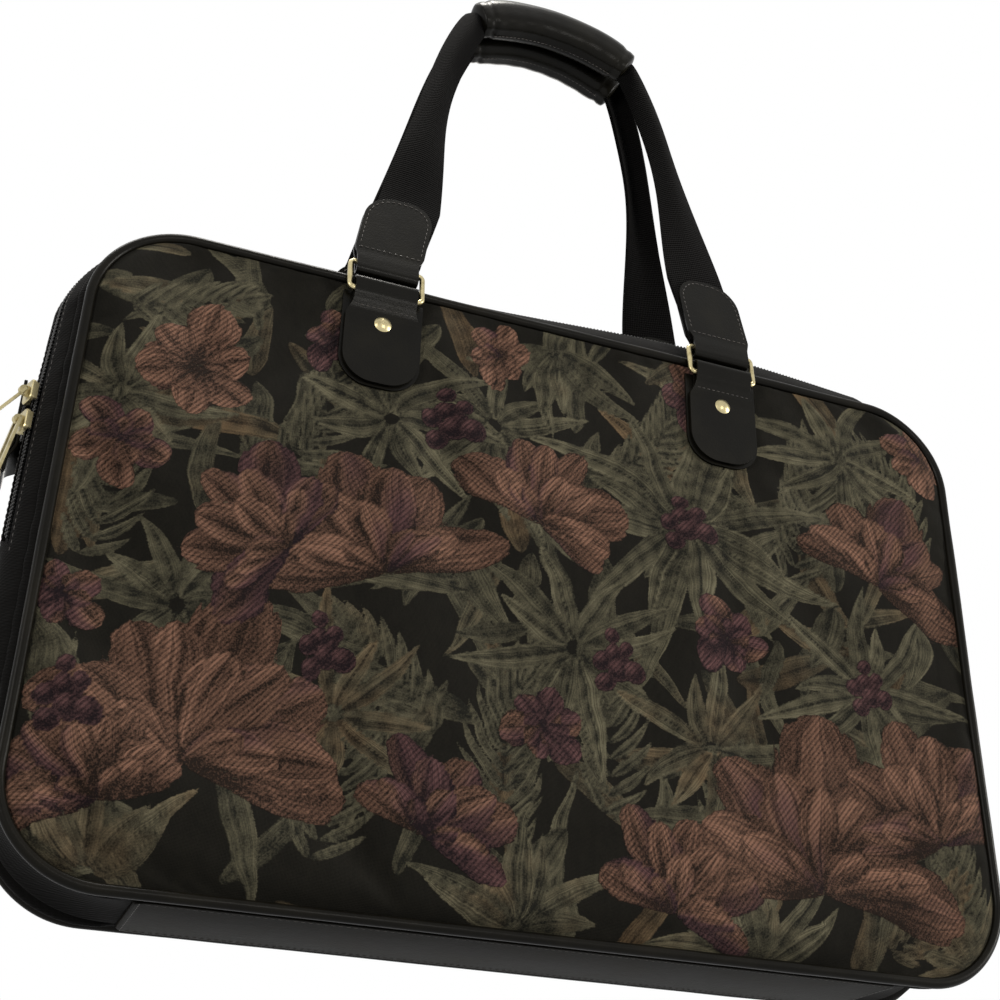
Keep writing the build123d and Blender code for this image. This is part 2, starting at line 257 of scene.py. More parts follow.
@dataclass(frozen=True)
class Brass:
    """Pale polished brass with a faint brushed haze."""
    name: str = "pale_brass"
    colour: Colour = srgb(186, 174, 134)
    dull: Colour = srgb(132, 120, 84)
    roughness: float = 0.25

    def make(self) -> Finish:
        """Build the material."""
        graph = Graph(self.name)
        where = graph.place()
        haze = graph.noise(where, 210.0, 4.0, 0.6)
        specks = graph.noise(where, 1300.0, 2.0)
        colour = graph.mix(haze.between(0.45, 0.8), self.colour, self.dull)
        rough = self.roughness + haze * 0.16
        relief = graph.bump(specks, 0.00003, 0.4)
        return graph.finish(Base_Color=colour, Metallic=1.0, Roughness=rough, Normal=relief)


@dataclass(frozen=True)
class Webbing:
    """Matt black ribbed webbing, woven along its own length."""
    name: str = "black_webbing"
    colour: Colour = srgb(6, 6, 6)
    light: Colour = srgb(19, 18, 18)
    rib: float = 1.6 * MM

    def make(self) -> Finish:
        """Build the material on the strap's own UV map, in metres."""
        graph = Graph(self.name)
        where = graph.place(uv=True)
        ribs = graph.bands(where, 1 / self.rib / math.pi, "X")
        picks = graph.bands(where, 1 / (0.9 * self.rib) / math.pi, "Y")
        fuzz = graph.noise(graph.place(), 900.0, 3.0)
        weave = ribs * 0.55 + picks * 0.45
        colour = graph.mix(weave * 0.5 + fuzz * 0.4, self.colour, self.light)
        relief = graph.bump(weave + fuzz * 0.35, 0.0005, 0.8)
        return graph.finish(
            Base_Color=colour, Roughness=0.9, Normal=relief, Specular_IOR_Level=0.03,
            Sheen_Weight=0.02, Sheen_Roughness=0.5,
        )


@dataclass(frozen=True)
class PlainCloth:
    """Plain woven cloth, for the gusset, the lining and the zip's tapes."""
    name: str
    colour: Colour
    light: Colour
    thread: float = 0.55 * MM
    roughness: float = 0.8
    specular: float = 0.06

    def make(self) -> Finish:
        """Build the material."""
        graph = Graph(self.name)
        where = graph.place()
        warp = graph.bands(where, 1 / self.thread / math.pi / 2, "DIAGONAL")
        weft = graph.bands(graph.place(turn=(0, 0.9, 1.3)), 1 / self.thread / math.pi / 2, "DIAGONAL")
        slub = graph.noise(graph.place(stretch=(1, 1, 5)), 240.0, 3.0)
        cloud = graph.noise(where, 18.0, 3.0)
        weave = warp * 0.5 + weft * 0.5
        colour = graph.mix(weave * 0.35 + slub * 0.35 + cloud * 0.3, self.colour, self.light)
        relief = graph.bump(weave + slub * 0.5, 0.00022, 0.7)
        return graph.finish(
            Base_Color=colour, Roughness=self.roughness, Normal=relief,
            Specular_IOR_Level=self.specular, Sheen_Weight=0.02, Sheen_Roughness=0.5,
        )


@dataclass(frozen=True)
class Speckled:
    """A hard plain finish that varies only through one fine noise, as board and moulded plastic do."""
    name: str
    dark: Colour
    light: Colour
    roughness: float
    dulling: float
    scale: float
    detail: float
    stretch: tuple[float, float, float]
    depth: float
    strength: float

    def make(self) -> Finish:
        """Build the material."""
        graph = Graph(self.name)
        specks = graph.noise(graph.place(stretch=self.stretch), self.scale, self.detail)
        colour = graph.mix(specks, self.dark, self.light)
        rough = self.roughness + specks * self.dulling if self.dulling else self.roughness
        return graph.finish(Base_Color=colour, Roughness=rough, Normal=graph.bump(specks, self.depth, self.strength))


BOARD = Speckled(
    "pressed_board", srgb(120, 100, 78), srgb(158, 136, 108), 0.8, 0.0, 320.0, 4.0, (1, 3, 1), 0.0002, 0.5,
)
COIL = Speckled(
    "zip_coil_plastic", srgb(20, 20, 21), srgb(52, 51, 50), 0.38, 0.2, 700.0, 3.0, (1, 1, 1), 0.00004, 1.0,
)


@dataclass(frozen=True)
class Thread:
    """Sewing thread with its twist."""
    name: str = "black_thread"
    colour: Colour = srgb(34, 31, 30)
    light: Colour = srgb(74, 68, 62)

    def make(self) -> Finish:
        """Build the material."""
        graph = Graph(self.name)
        twist = graph.bands(graph.place(turn=(0.4, 0.7, 0.2)), 700.0, "DIAGONAL")
        colour = graph.mix(twist, self.colour, self.light)
        return graph.finish(Base_Color=colour, Roughness=0.55, Normal=graph.bump(twist, 0.0001, 0.6))


@dataclass(frozen=True)
class Tapestry:
    """Jacquard cloth: rust and plum blooms and olive leaves on charcoal, read from the panel's attributes."""
    name: str = "tapestry"
    ground: Colour = srgb(22, 22, 20)
    ground_light: Colour = srgb(40, 38, 33)
    leaf_dark: Colour = srgb(34, 34, 30)
    leaf_light: Colour = srgb(121, 116, 95)
    ochre_dark: Colour = srgb(44, 36, 28)
    ochre_light: Colour = srgb(136, 110, 82)
    rust_dark: Colour = srgb(38, 31, 27)
    rust_light: Colour = srgb(151, 114, 96)
    plum_dark: Colour = srgb(32, 26, 29)
    plum_light: Colour = srgb(110, 80, 80)
    rib_pitch: float = 2.2 * MM
    thread: float = 0.6 * MM

    def make(self) -> Finish:
        """Build the material."""
        graph = Graph(self.name)
        where = graph.place()
        ragged = graph.noise(graph.place(stretch=(1, 1, 2.2)), 560.0, 2.0) - 0.5
        twill = graph.bands(graph.place(turn=(0, math.radians(-40), 0)), BAND / self.rib_pitch)
        picks = graph.bands(where, BAND / self.thread, "Z")
        ends = graph.bands(where, BAND / self.thread, "X")
        cloud = graph.noise(where, 42.0, 3.0)
        patchy = graph.noise(graph.place(stretch=(1, 1, 0.6)), 190.0, 2.0)
        fleck = graph.noise(where, 1200.0, 1.0)

        petal = (graph.attribute("petal") + ragged * 1.6).between(-0.35, 0.35)
        leaf = (graph.attribute("leaf") + ragged * 1.6).between(-0.35, 0.35)
        broken = patchy * 2.2
        petal_lines = graph.streaks(graph.attribute("petal_grain") * 2.6 + broken * 0.9)
        leaf_lines = graph.streaks(graph.attribute("leaf_grain") * 2.2 + broken * 0.8)
        petal_tone = graph.attribute("petal_tone") * (0.5 + petal_lines * 0.75) + (cloud - 0.5) * 0.5
        leaf_tone = graph.attribute("leaf_tone") * (0.55 + leaf_lines * 0.7) + (cloud - 0.5) * 0.45
        ribbed = petal_tone * (0.5 + twill.between(0.1, 0.75) * 0.62) + (fleck - 0.5) * 0.8
        woven = leaf_tone * (0.7 + picks * 0.4) + (fleck - 0.5) * 0.5

        hue = graph.attribute("petal_hue") + (cloud - 0.5) * 0.6
        rust = graph.mix(ribbed, self.rust_dark, self.rust_light)
        plum = graph.mix(ribbed, self.plum_dark, self.plum_light)
        bloom = graph.mix(hue.between(0.32, 0.72), rust, plum)
        olive = graph.mix(woven, self.leaf_dark, self.leaf_light)
        ochre = graph.mix(woven, self.ochre_dark, self.ochre_light)
        growth = graph.mix((graph.attribute("leaf_hue") + (cloud - 0.5) * 0.5).between(0.35, 0.75), olive, ochre)
        ground = graph.mix(fleck * 0.6 + patchy * 0.5 - 0.15, self.ground, self.ground_light)
        colour = graph.mix(petal, graph.mix(leaf, ground, growth), bloom)

        floats = (picks * 0.5 + ends * 0.5) * 0.5 + fleck * 0.3
        relief = floats + petal * twill * 0.9 + petal * 0.4 + leaf * 0.3 + leaf * leaf_lines * 0.25
        return graph.finish(
            Base_Color=colour, Roughness=0.85 - petal * 0.06, Normal=graph.bump(relief, 0.0004, 0.7),
            Specular_IOR_Level=0.03, Sheen_Weight=0.03, Sheen_Roughness=0.45,
        )


# Modelling helpers


def one_alone(obj: Piece) -> None:
    """Select one object and make it active."""
    bpy.ops.object.select_all(action="DESELECT")
    obj.select_set(True)
    bpy.context.view_layer.objects.active = obj


@contextmanager
def editing(obj: Piece) -> Iterator[None]:
    """Edit mode on one object, with all of its mesh selected."""
    one_alone(obj)
    bpy.ops.object.mode_set(mode="EDIT")
    bpy.ops.mesh.select_all(action="SELECT")
    yield
    bpy.ops.object.mode_set(mode="OBJECT")


def modify(obj: Piece, kind: str, **settings: object) -> None:
    """Add a modifier with its settings and apply it."""
    one_alone(obj)
    modifier = obj.modifiers.new(kind.lower(), kind)
    for key, value in settings.items():
        setattr(modifier, key, value)
    bpy.ops.object.modifier_apply(modifier=modifier.name)


def points_of(obj: Piece) -> Array:
    """All vertices of a mesh, one row each."""
    flat = np.empty(len(obj.data.vertices) * 3)
    obj.data.vertices.foreach_get("co", flat)
    return flat.reshape(-1, 3)


def set_points(obj: Piece, points: Array) -> None:
    """Move all vertices of a mesh."""
    obj.data.vertices.foreach_set("co", np.ascontiguousarray(points, dtype=float).ravel())
    obj.data.update()


def rename(obj: Piece, name: str) -> Piece:
    """Name an object and its mesh."""
    obj.name = name
    obj.data.name = name
    return obj


def tidy_mesh(obj: Piece, merge: float = 0.00002) -> None:
    """Merge doubled vertices and turn all faces outwards."""
    with editing(obj):
        bpy.ops.mesh.remove_doubles(threshold=merge)
        bpy.ops.mesh.normals_make_consistent(inside=False)


def smooth(obj: Piece, angle: float) -> None:
    """Shade smooth, apart from edges sharper than an angle in degrees."""
    one_alone(obj)
    bpy.ops.object.shade_smooth_by_angle(angle=math.radians(angle))


def bevel_rims(obj: Piece, width: float) -> None:
    """Round every sharp rim of a piece."""
    modify(obj, "BEVEL", width=width, segments=2, limit_method="ANGLE", angle_limit=0.9)


def walled(obj: Piece, thickness: float, rim: float = 0.0, merge: float = 0.00002) -> Piece:
    """Give a surface its wall, closed and facing outwards, with its rims rounded where rim is set."""
    modify(obj, "SOLIDIFY", thickness=thickness, offset=0)
    tidy_mesh(obj, merge)
    if rim:
        bevel_rims(obj, rim)
    smooth(obj, 55 if rim else 50)
    return obj


def shaped_grid(name: str, columns: int, rows: int, rule: Rule, size: tuple[float, float] = (1.0, 1.0)) -> Piece:
    """A grid primitive laid over a surface.

    Args:
        name: the piece's name.
        columns: faces along u.
        rows: faces along v.
        rule: gives the points for arrays of u and v from 0 to 1.
        size: length in metres along u and v, for the UV map.

    Returns:
        The new object, unturned at the origin.
    """
    bpy.ops.object.select_all(action="DESELECT")
    bpy.ops.mesh.primitive_grid_add(x_subdivisions=columns, y_subdivisions=rows, size=1)
    obj = rename(bpy.context.object, name)
    flat = points_of(obj) + 0.5
    set_points(obj, rule(flat[:, 0], flat[:, 1]))
    layer = obj.data.uv_layers.active.data
    uv = np.empty(len(layer) * 2)
    layer.foreach_get("uv", uv)
    layer.foreach_set("uv", (uv.reshape(-1, 2) * np.array(size)).ravel())
    return obj


def joined(name: str, parts: list[Piece]) -> Piece:
    """Join several objects into one named piece."""
    one_alone(parts[0])
    for part in parts:
        part.select_set(True)
    bpy.ops.object.join()
    return rename(bpy.context.object, name)


def moved(obj: Piece, matrix: Matrix) -> Piece:
    """Move a piece's mesh, its faces still outwards where the matrix mirrors."""
    obj.data.transform(matrix)
    if matrix.determinant() < 0:
        obj.data.flip_normals()
    obj.data.update()
    return obj


def twin(obj: Piece, name: str, matrix: Matrix) -> Piece:
    """A copy with its own mesh, moved by a matrix."""
    copy = obj.copy()
    copy.data = obj.data.copy()
    bpy.context.collection.objects.link(copy)
    return moved(rename(copy, name), matrix)


def wavy(points: Array, pitch: float, seed: int) -> Array:
    """Smooth waves of about -1 to 1 over points, the same on each run.

    Args:
        points: rows of coordinates in metres.
        pitch: typical distance between two crests.
        seed: picks the waves' directions.

    Returns:
        One number for each point.
    """
    picker = np.random.default_rng(seed)
    total = np.zeros(len(points))
    waves = 7
    for _ in range(waves):
        direction = picker.normal(size=3)
        direction /= np.linalg.norm(direction)
        length = pitch * picker.uniform(0.7, 1.6)
        total += np.sin(points @ direction * 2 * math.pi / length + picker.uniform(0, 2 * math.pi))
    return total / math.sqrt(waves)


def in_plane(x: float | Array, z: float | Array, y: float | Array = 0.0) -> Array:
    """Rows of points from x, z and a depth y."""
    return np.stack(np.broadcast_arrays(x, y, z), axis=1).astype(float)


def unit(rows: Array) -> Array:
    """The same directions with length 1."""
    return rows / np.linalg.norm(rows, axis=1)[:, None]


def step(x: Array, low: float, high: float) -> Array:
    """Smooth step from 0 at low to 1 at high."""
    t = np.clip((x - low) / (high - low), 0, 1)
    return t * t * (3 - 2 * t)


def hump(x: Array, middle: float, width: float) -> Array:
    """Bell of height 1 round a middle."""
    return np.exp(-(((x - middle) / width) ** 2))


def stitch_rows(name: str, runs: list[tuple], length: float, width: float) -> Piece:
    """Rows of sewn stitches.

    Args:
        name: the piece's name.
        runs: for each row its spots, the direction ahead and the direction out of the cloth, given once or for each.
        length: length of one stitch.
        width: thickness of the thread.

    Returns:
        One object with all the stitches.
    """
    bpy.ops.object.select_all(action="DESELECT")
    bpy.ops.mesh.primitive_uv_sphere_add(segments=6, ring_count=4, radius=1)
    obj = bpy.context.object
    base = points_of(obj)
    faces = [tuple(face.vertices) for face in obj.data.polygons]
    bpy.data.objects.remove(obj)
    spots, ahead, out = (np.concatenate(column) for column in zip(*(np.broadcast_arrays(*run) for run in runs)))
    axes = ((ahead, 2, length), (np.cross(ahead, out), 0, width), (out, 1, width))
    points = spots[:, None] + sum(base[None, :, n, None] * way[:, None] * size / 2 for way, n, size in axes)
    many = [tuple(i + n * len(base) for i in face) for n in range(len(spots)) for face in faces]
    mesh = bpy.data.meshes.new(name)
    mesh.from_pydata(points.reshape(-1, 3).tolist(), [], many)
    row = bpy.data.objects.new(name, mesh)
    bpy.context.collection.objects.link(row)
    tidy_mesh(row, 1e-7)
    smooth(row, 180)
    return row


def dress(obj: Piece, material: Finish, nodes: tuple[str, ...] = (), body: str = "bag") -> None:
    """Give a piece its finish and its body, and hide the nodes that it stands for."""
    obj.data.materials.clear()
    obj.data.materials.append(material)
    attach(obj, body)
    if nodes:
        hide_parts(*nodes)
    LOG.info("%s: %d faces on %s", obj.name, len(obj.data.polygons), body)


def rounded_end(length: Array, half: float, corner: float) -> Array:
    """Half width of a strip at distances from its rounded end."""
    reach = np.clip(corner - length, 0, corner)
    return half - corner + np.sqrt(np.maximum(corner ** 2 - reach ** 2, 0))


def end_rows(corner: float, count: int) -> Array:
    """Distances from a rounded end, close together where it curves most."""
    return corner * (1 - np.cos(np.linspace(0, math.pi / 2, count)))


def arc(centre: tuple[float, float], radius: float, start: float, end: float, count: int) -> Array:
    """Points of an arc in a side plane, angles in degrees from the out axis towards up."""
    angle = np.radians(np.linspace(start, end, count))
    return np.stack([centre[0] + radius * np.cos(angle), centre[1] + radius * np.sin(angle)], axis=1)


def line_length(line: Array) -> Array:
    """Distance along a line to each of its points."""
    return np.concatenate([[0], np.cumsum(np.hypot(*np.diff(line, axis=0).T))])


def even_line(line: Array, pitch: float) -> Array:
    """The same line with evenly spaced points."""
    along = line_length(line)
    marks = np.linspace(0, along[-1], max(2, int(along[-1] / pitch) + 1))
    return np.stack([np.interp(marks, along, line[:, n]) for n in (0, 1)], axis=1)


# The bag's form


@dataclass(frozen=True)
class BagForm:
    """The rounded form that the panels, piping, gusset and zip follow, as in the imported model."""
    length: float = 508 * MM
    height: float = 341 * MM
    half_depth: float = 33 * MM
    corner: float = 49 * MM
    side_bulge: float = 18 * MM
    top_bulge: float = 20 * MM
    crest_upper: float = 62 * MM
    crest_lower: float = 96 * MM
    seam_low: float = 2.8 * MM
    gusset_edge: float = 29.95 * MM
    gusset_wall: float = 1.6 * MM
    piping_radius: float = 2.75 * MM
    zip_y: float = -9 * MM
    zip_opening: float = 9.6 * MM
    zip_end: float = 165 * MM
    # Turn, reach and strength of each place where the soft gusset is drawn in or puffed up.
    soft_places: tuple = ((3.5, 0.62, -0.55), (5.6, 0.5, -0.35), (1.5, 0.6, -0.2), (7.5, 0.6, -0.2), (4.76, 0.3, 0.6))

    def sizes(self, crest: Array, grow: float) -> tuple[Array, Array, Array, Array, Array]:
        """Half length, low, high, lower and upper radius of the outline where the bulge has a share of crest."""
        half = self.length / 2 + self.side_bulge * crest + grow
        high = self.seam_low + self.height + self.top_bulge * crest + grow
        lower = self.corner + (self.crest_lower - self.corner) * crest + grow
        upper = self.corner + (self.crest_upper - self.corner) * crest + grow
        return half, self.seam_low - grow + 0 * crest, high, lower, upper

    def outline(self, turn: Array, crest: Array, grow: float = 0.0) -> tuple[Array, ...]:
        """Points and outward directions of the outline.

        Args:
            turn: 0 to 9, one unit for each side or corner, from the middle of the base clockwise.
            crest: share of the bulge, 0 at the piping and 1 at mid depth.
            grow: distance outwards from the seam line.

        Returns:
            x, z and the outward direction's x and z.
        """
        half, low, high, lower, upper = self.sizes(crest, grow)
        part = np.clip(np.floor(turn), 0, 8)
        share = turn - part
        straights = (
            (0, (0.0, -1.0), (0 * half, low), (lower - half, low)),
            (2, (-1.0, 0.0), (-half, low + lower), (-half, high - upper)),
            (4, (0.0, 1.0), (upper - half, high), (half - upper, high)),
            (6, (1.0, 0.0), (half, high - upper), (half, low + lower)),
            (8, (0.0, -1.0), (half - lower, low), (0 * half, low)),
        )
        bends = (
            (1, -0.5, (lower - half, low + lower), lower),
            (3, 1.0, (upper - half, high - upper), upper),
            (5, 0.5, (half - upper, high - upper), upper),
            (7, 0.0, (half - lower, low + lower), lower),
        )
        found = []
        for index, way, start, end in straights:
            found.append((part == index, *(a + (b - a) * share for a, b in zip(start, end)), *way))
        for index, first, centre, radius in bends:
            angle = first * math.pi - share * math.pi / 2
            way = np.cos(angle), np.sin(angle)
            found.append((part == index, *(c + radius * w for c, w in zip(centre, way)), *way))
        here, *values = zip(*found)
        return tuple(np.select(here, value) for value in values)

    def walk(self, start: float, end: float, crest: float) -> tuple[Array, Array]:
        """Fine turns along the outline and the distance to each."""
        fine = np.linspace(start, end, 4000)
        x, z, *_ = self.outline(fine, np.full(fine.shape, crest))
        return fine, line_length(np.stack([x, z], axis=1))

    def even_turns(self, count: int, start: float = 0.0, end: float = 9.0, crest: float = 0.0) -> Array:
        """Turn values that lie evenly along the outline."""
        fine, along = self.walk(start, end, crest)
        return np.interp(np.linspace(0, along[-1], count), along, fine)

    def run_length(self, start: float, end: float, crest: float) -> float:
        """Length of the outline between two turns."""
        return float(self.walk(start, end, crest)[1][-1])

    def crest(self, y: Array, edge: float = 0.0) -> Array:
        """Share of the bulge at a depth y, of the gusset or of cloth with another edge."""
        return 1 - (y / (edge or self.gusset_edge)) ** 2

    def fullness(self, turn: Array) -> Array:
        """How full the soft gusset stands along the outline."""
        return 1 + sum(strength * hump(turn, place, reach) for place, reach, strength in self.soft_places)

    def gusset(self, turn: Array, y: Array, grow: float | Array = 0.0) -> Array:
        """Points of the gusset's surface at a depth y, moved outwards by a distance."""
        x, z, nx, nz = self.outline(turn, self.crest(y) * self.fullness(turn))
        return in_plane(x + nx * grow, z + nz * grow, y)

    def outward(self, turn: Array, y: Array) -> Array:
        """Outward directions of the gusset's surface at a depth y."""
        return in_plane(*self.outline(turn, self.crest(y) * self.fullness(turn))[2:])

    def face(self, u: Array, v: Array, inset: float, y: float) -> Array:
        """Points of a flat face inside the seam line, for u along it and v up it."""
        half, radius = self.length / 2 - inset, self.corner - inset
        low, high = self.seam_low + inset, self.seam_low + self.height - inset
        bend = 0.13
        angle = np.clip(np.minimum(v, 1 - v) / bend, 0, 1) * math.pi / 2
        width = half - radius + radius * np.sin(angle)
        rise = radius * (1 - np.cos(angle))
        middle = low + radius + (high - low - 2 * radius) * (v - bend) / (1 - 2 * bend)
        z = np.where(v < bend, low + rise, np.where(v > 1 - bend, high - rise, middle))
        return in_plane((2 * u - 1) * width, z, y)

    def zip_turn(self, z: float) -> float:
        """Turn on the left end at a height, on the zip's line."""
        _, low, high, lower, upper = self.sizes(self.crest(np.array(self.zip_y)), 0.0)
        return float(2 + (z - low - lower) / (high - upper - low - lower))


FORM = BagForm()
TAB_X = 103 * MM
PANEL_FACE = 34.1 * MM
PATCH_FACE = 35.3 * MM
BAR_Y = 38.95 * MM
BAR_Z = 335 * MM
LEAN = math.radians(6.037)
EYE_WIDTH = 35.2 * MM
LOOP = 2.45 * MM


def strip(
    name: str, turns: Array, edges: tuple[float, float], rows: int, surface: Rule, size: tuple[float, float] = (1, 1),
) -> Piece:
    """A grid laid along the outline between two depths.

    Args:
        name: the piece's name.
        turns: the turn at each column's edge.
        edges: the depths where it starts and ends.
        rows: faces across it.
        surface: gives the points for arrays of turns and depths.
        size: length in metres along and across, for the UV map.

    Returns:
        The new object, an open sheet.
    """
    near, far = edges

    def rule(u: Array, v: Array) -> Array:
        """Points for u along the strip and v across it."""
        turn = np.interp(u, np.linspace(0, 1, len(turns)), turns)
        return surface(turn % 9, near + (far - near) * v)

    return shaped_grid(name, len(turns) - 1, rows, rule, size)


def ribbon(name: str, line: Array, width: Array, thickness: float) -> Piece:
    """A strip of leatherette that follows a line in a side plane.

    Args:
        name: the piece's name.
        line: its points, rows of (out, up).
        width: its half width at each point.
        thickness: its thickness.

    Returns:
        The finished strip.
    """
    marks = np.linspace(0, 1, len(line))

    def rule(u: Array, v: Array) -> Array:
        """Points for u along the strip and v across it."""
        out, up, half = (np.interp(u, marks, row) for row in (*line.T, width))
        return in_plane(np.sin((2 * v - 1) * math.pi / 2) * half, up, out)

    return walled(shaped_grid(name, len(line) - 1, 20, rule), thickness, thickness * 0.3)


# Woven picture


@dataclass(frozen=True)
class Blade:
    """One leaf or petal in millimetres: pointed when tip is small, broad and ruffled when it is large."""
    x: float
    z: float
    length: float
    turn: float
    width: float = 7.0
    bend: float = 0.1
    hue: float = 0.1
    light: float = 1.0
    tip: float = 0.0

    def draw(self, x: Array, z: Array) -> tuple[Array, Array, Array, Array]:
        """Distance inside the blade in mm, its tone, its hue and the coordinate that its streaks follow."""
        c, s = math.cos(self.turn), math.sin(self.turn)
        along = ((x - self.x) * c + (z - self.z) * s) / self.length
        across = (z - self.z) * c - (x - self.x) * s
        across = across - self.bend * self.length * 2 * along * along
        t = np.clip(along, 0, 1)
        pointed = np.sin(math.pi * t ** 0.75) ** 0.8
        broad = np.minimum(1, t / 0.62) ** 0.75 * np.sqrt(np.clip(1 - np.clip((t - 0.62) / 0.38, 0, 1) ** 2, 0, 1))
        ruffle = 1 + self.tip * t * (0.10 * np.sin(across * 0.7 + self.x) + 0.07 * np.sin(across * 1.7 + self.z))
        half = self.width / 2 * ((1 - self.tip) * pointed + self.tip * broad * ruffle) + 0.01
        side = across / half
        inside = np.minimum(half - np.abs(across), self.length * (1 - along) * (1.5 - self.tip) + 0.6)
        inside = np.minimum(inside, self.length * along * 2 + 0.6)
        rim = np.clip(1 - inside / 1.6, 0, 1)
        if self.tip > 0.3:
            tone = 0.05 + 0.8 * t ** 0.8 + 0.2 * np.sin(side * 3.7 + self.x) - 0.6 * rim ** 1.5
            tone += 0.16 * np.sin(t * 7 + side * 2.4 + self.z) - 0.35 * (np.sin(side * 8 + 3 * t + self.x) > 0.72)
            grain = side * 3.2 + 1.3 * self.turn + self.x
        else:
            tone = 0.16 + 0.4 * t + 0.2 * (side > 0) + 0.4 * rim * (inside > 0.5) + 0.12 * np.sin(side * 5 + self.x)
            tone += 0.12 * np.sin(along * self.length * 0.5 - np.abs(side) * 1.6 + self.z)
            tone -= 0.45 * step(np.abs(across), 0.1 * self.width ** 0.5 + 0.4, 0.1)
            grain = side * 2.6 + along * 0.6 + self.z
        hue = self.hue + 0.22 * np.sin(side * 2.1 + self.x) * self.tip - 0.25 * (t - 0.5) * self.tip
        return inside, np.clip(tone * self.light, 0, 1.15), np.clip(hue, 0, 1), grain


@dataclass(frozen=True)
class Berry:
    """A round berry or bud, in millimetres."""
    x: float
    z: float
    radius: float = 6.0
    hue: float = 0.9

    def draw(self, x: Array, z: Array) -> tuple[Array, Array, Array, Array]:
        """Distance inside the berry in mm, its tone, its hue and its streaks' coordinate."""
        r = np.hypot(x - self.x, z - self.z)
        glint = np.hypot(x - self.x + 0.3 * self.radius, z - self.z - 0.35 * self.radius)
        tone = 0.06 + 0.85 * np.clip(1 - glint / (0.7 * self.radius), 0, 1)
        tone += 0.3 * step(r, self.radius * 0.62, self.radius * 0.8) * step(r, self.radius, self.radius * 0.85)
        return self.radius - r, tone, np.full(x.shape, self.hue), r


@dataclass(frozen=True)
class Poppy:
    """A large bloom seen from the side, its petals fanned up from one foot."""
    x: float
    z: float
    size: float
    turn: float = 1.5
    hue: float = 0.2
    spread: float = 1.25

    def blades(self) -> list[Blade]:
        """The petals, those at the back first."""
        found = []
        rows = ((5, 1.0, 1.0, 0.62), (4, 0.84, 0.8, 0.85), (3, 0.62, 0.72, 1.05), (2, 0.42, 0.45, 0.8))
        for row, (count, reach, fan, light) in enumerate(rows):
            places = np.linspace(-1, 1, count)
            for index in sorted(range(count), key=lambda n: -abs(places[n])):
                lean = places[index] * self.spread * fan
                swing = 0.09 * math.sin(self.x + 3.7 * index + 2 * row)
                size = self.size * reach * (1 - 0.16 * abs(places[index]) + swing)
                hue = self.hue + 0.25 * math.sin(index * 1.9 + row * 1.3 + self.z)
                width = size * (0.5 + 0.08 * math.cos(index * 2.2 + self.x))
                bend = 0.11 * places[index]
                found.append(Blade(self.x, self.z, size, self.turn + lean, width, bend, hue, light, 1.0))
        return found


@dataclass(frozen=True)
class Blossom:
    """A small open flower with petals all round."""
    x: float
    z: float
    size: float
    petals: int = 6
    turn: float = 0.3
    hue: float = 0.2

    def blades(self) -> list[Blade]:
        """The petals round the flower, two rows of them."""
        found = []
        for row, (reach, light) in enumerate(((1.0, 0.95), (0.6, 0.7))):
            for index in range(self.petals):
                turn = self.turn + 0.5 * row + 2 * math.pi * index / self.petals
                size = self.size * reach * (0.88 + 0.14 * math.sin(index * 2.7 + self.x))
                hue = self.hue + 0.2 * math.sin(index * 1.7 + self.z)
                found.append(Blade(self.x, self.z, size, turn, size * 0.78, 0.06, hue, light, 0.9))
        return found


@dataclass(frozen=True)
class Fan:
    """Long leaves that arch out from one point."""
    x: float
    z: float
    reach: float
    count: int = 9
    turn: float = 0.0
    sweep: float = 2 * math.pi
    width: float = 11.0
    hue: float = 0.1
    light: float = 1.0

    def blades(self) -> list[Blade]:
        """The leaves of the fan."""
        found = []
        for index in range(self.count):
            turn = self.turn + self.sweep * (index + 0.5) / self.count
            size = self.reach * (0.8 + 0.22 * math.sin(index * 2.4 + self.x))
            x = self.x + 0.06 * self.reach * math.cos(turn)
            z = self.z + 0.06 * self.reach * math.sin(turn)
            bend = 0.16 * math.sin(index * 1.7 + self.z)
            hue = self.hue + 0.14 * math.sin(index * 3.1)
            found.append(Blade(x, z, size, turn, self.width, bend, hue, self.light * (0.85 + 0.3 * (index % 2))))
        return found


@dataclass(frozen=True)
class Frond:
    """A feathered leaf with narrow blades along both sides of a curved rib."""
    x: float
    z: float
    length: float
    turn: float
    pairs: int = 9
    reach: float = 30.0
    curl: float = 0.5
    width: float = 5.5
    hue: float = 0.1
    light: float = 0.85

    def blades(self) -> list[Blade]:
        """The blades of the frond, its tip last."""
        found = []
        for index in range(self.pairs):
            share = (index + 0.4) / self.pairs
            turn = self.turn + self.curl * share
            x = self.x + self.length * share * math.cos(self.turn + self.curl * share / 2)
            z = self.z + self.length * share * math.sin(self.turn + self.curl * share / 2)
            size = self.reach * (0.5 + 0.6 * math.sin(math.pi * (0.15 + 0.75 * share)))
            for side in (-1, 1):
                spread = side * (0.95 - 0.45 * share)
                found.append(Blade(x, z, size, turn + spread, self.width, -0.1 * side, self.hue, self.light))
        found.append(Blade(x, z, self.reach * 0.9, turn, self.width, 0.0, self.hue, self.light))
        return found


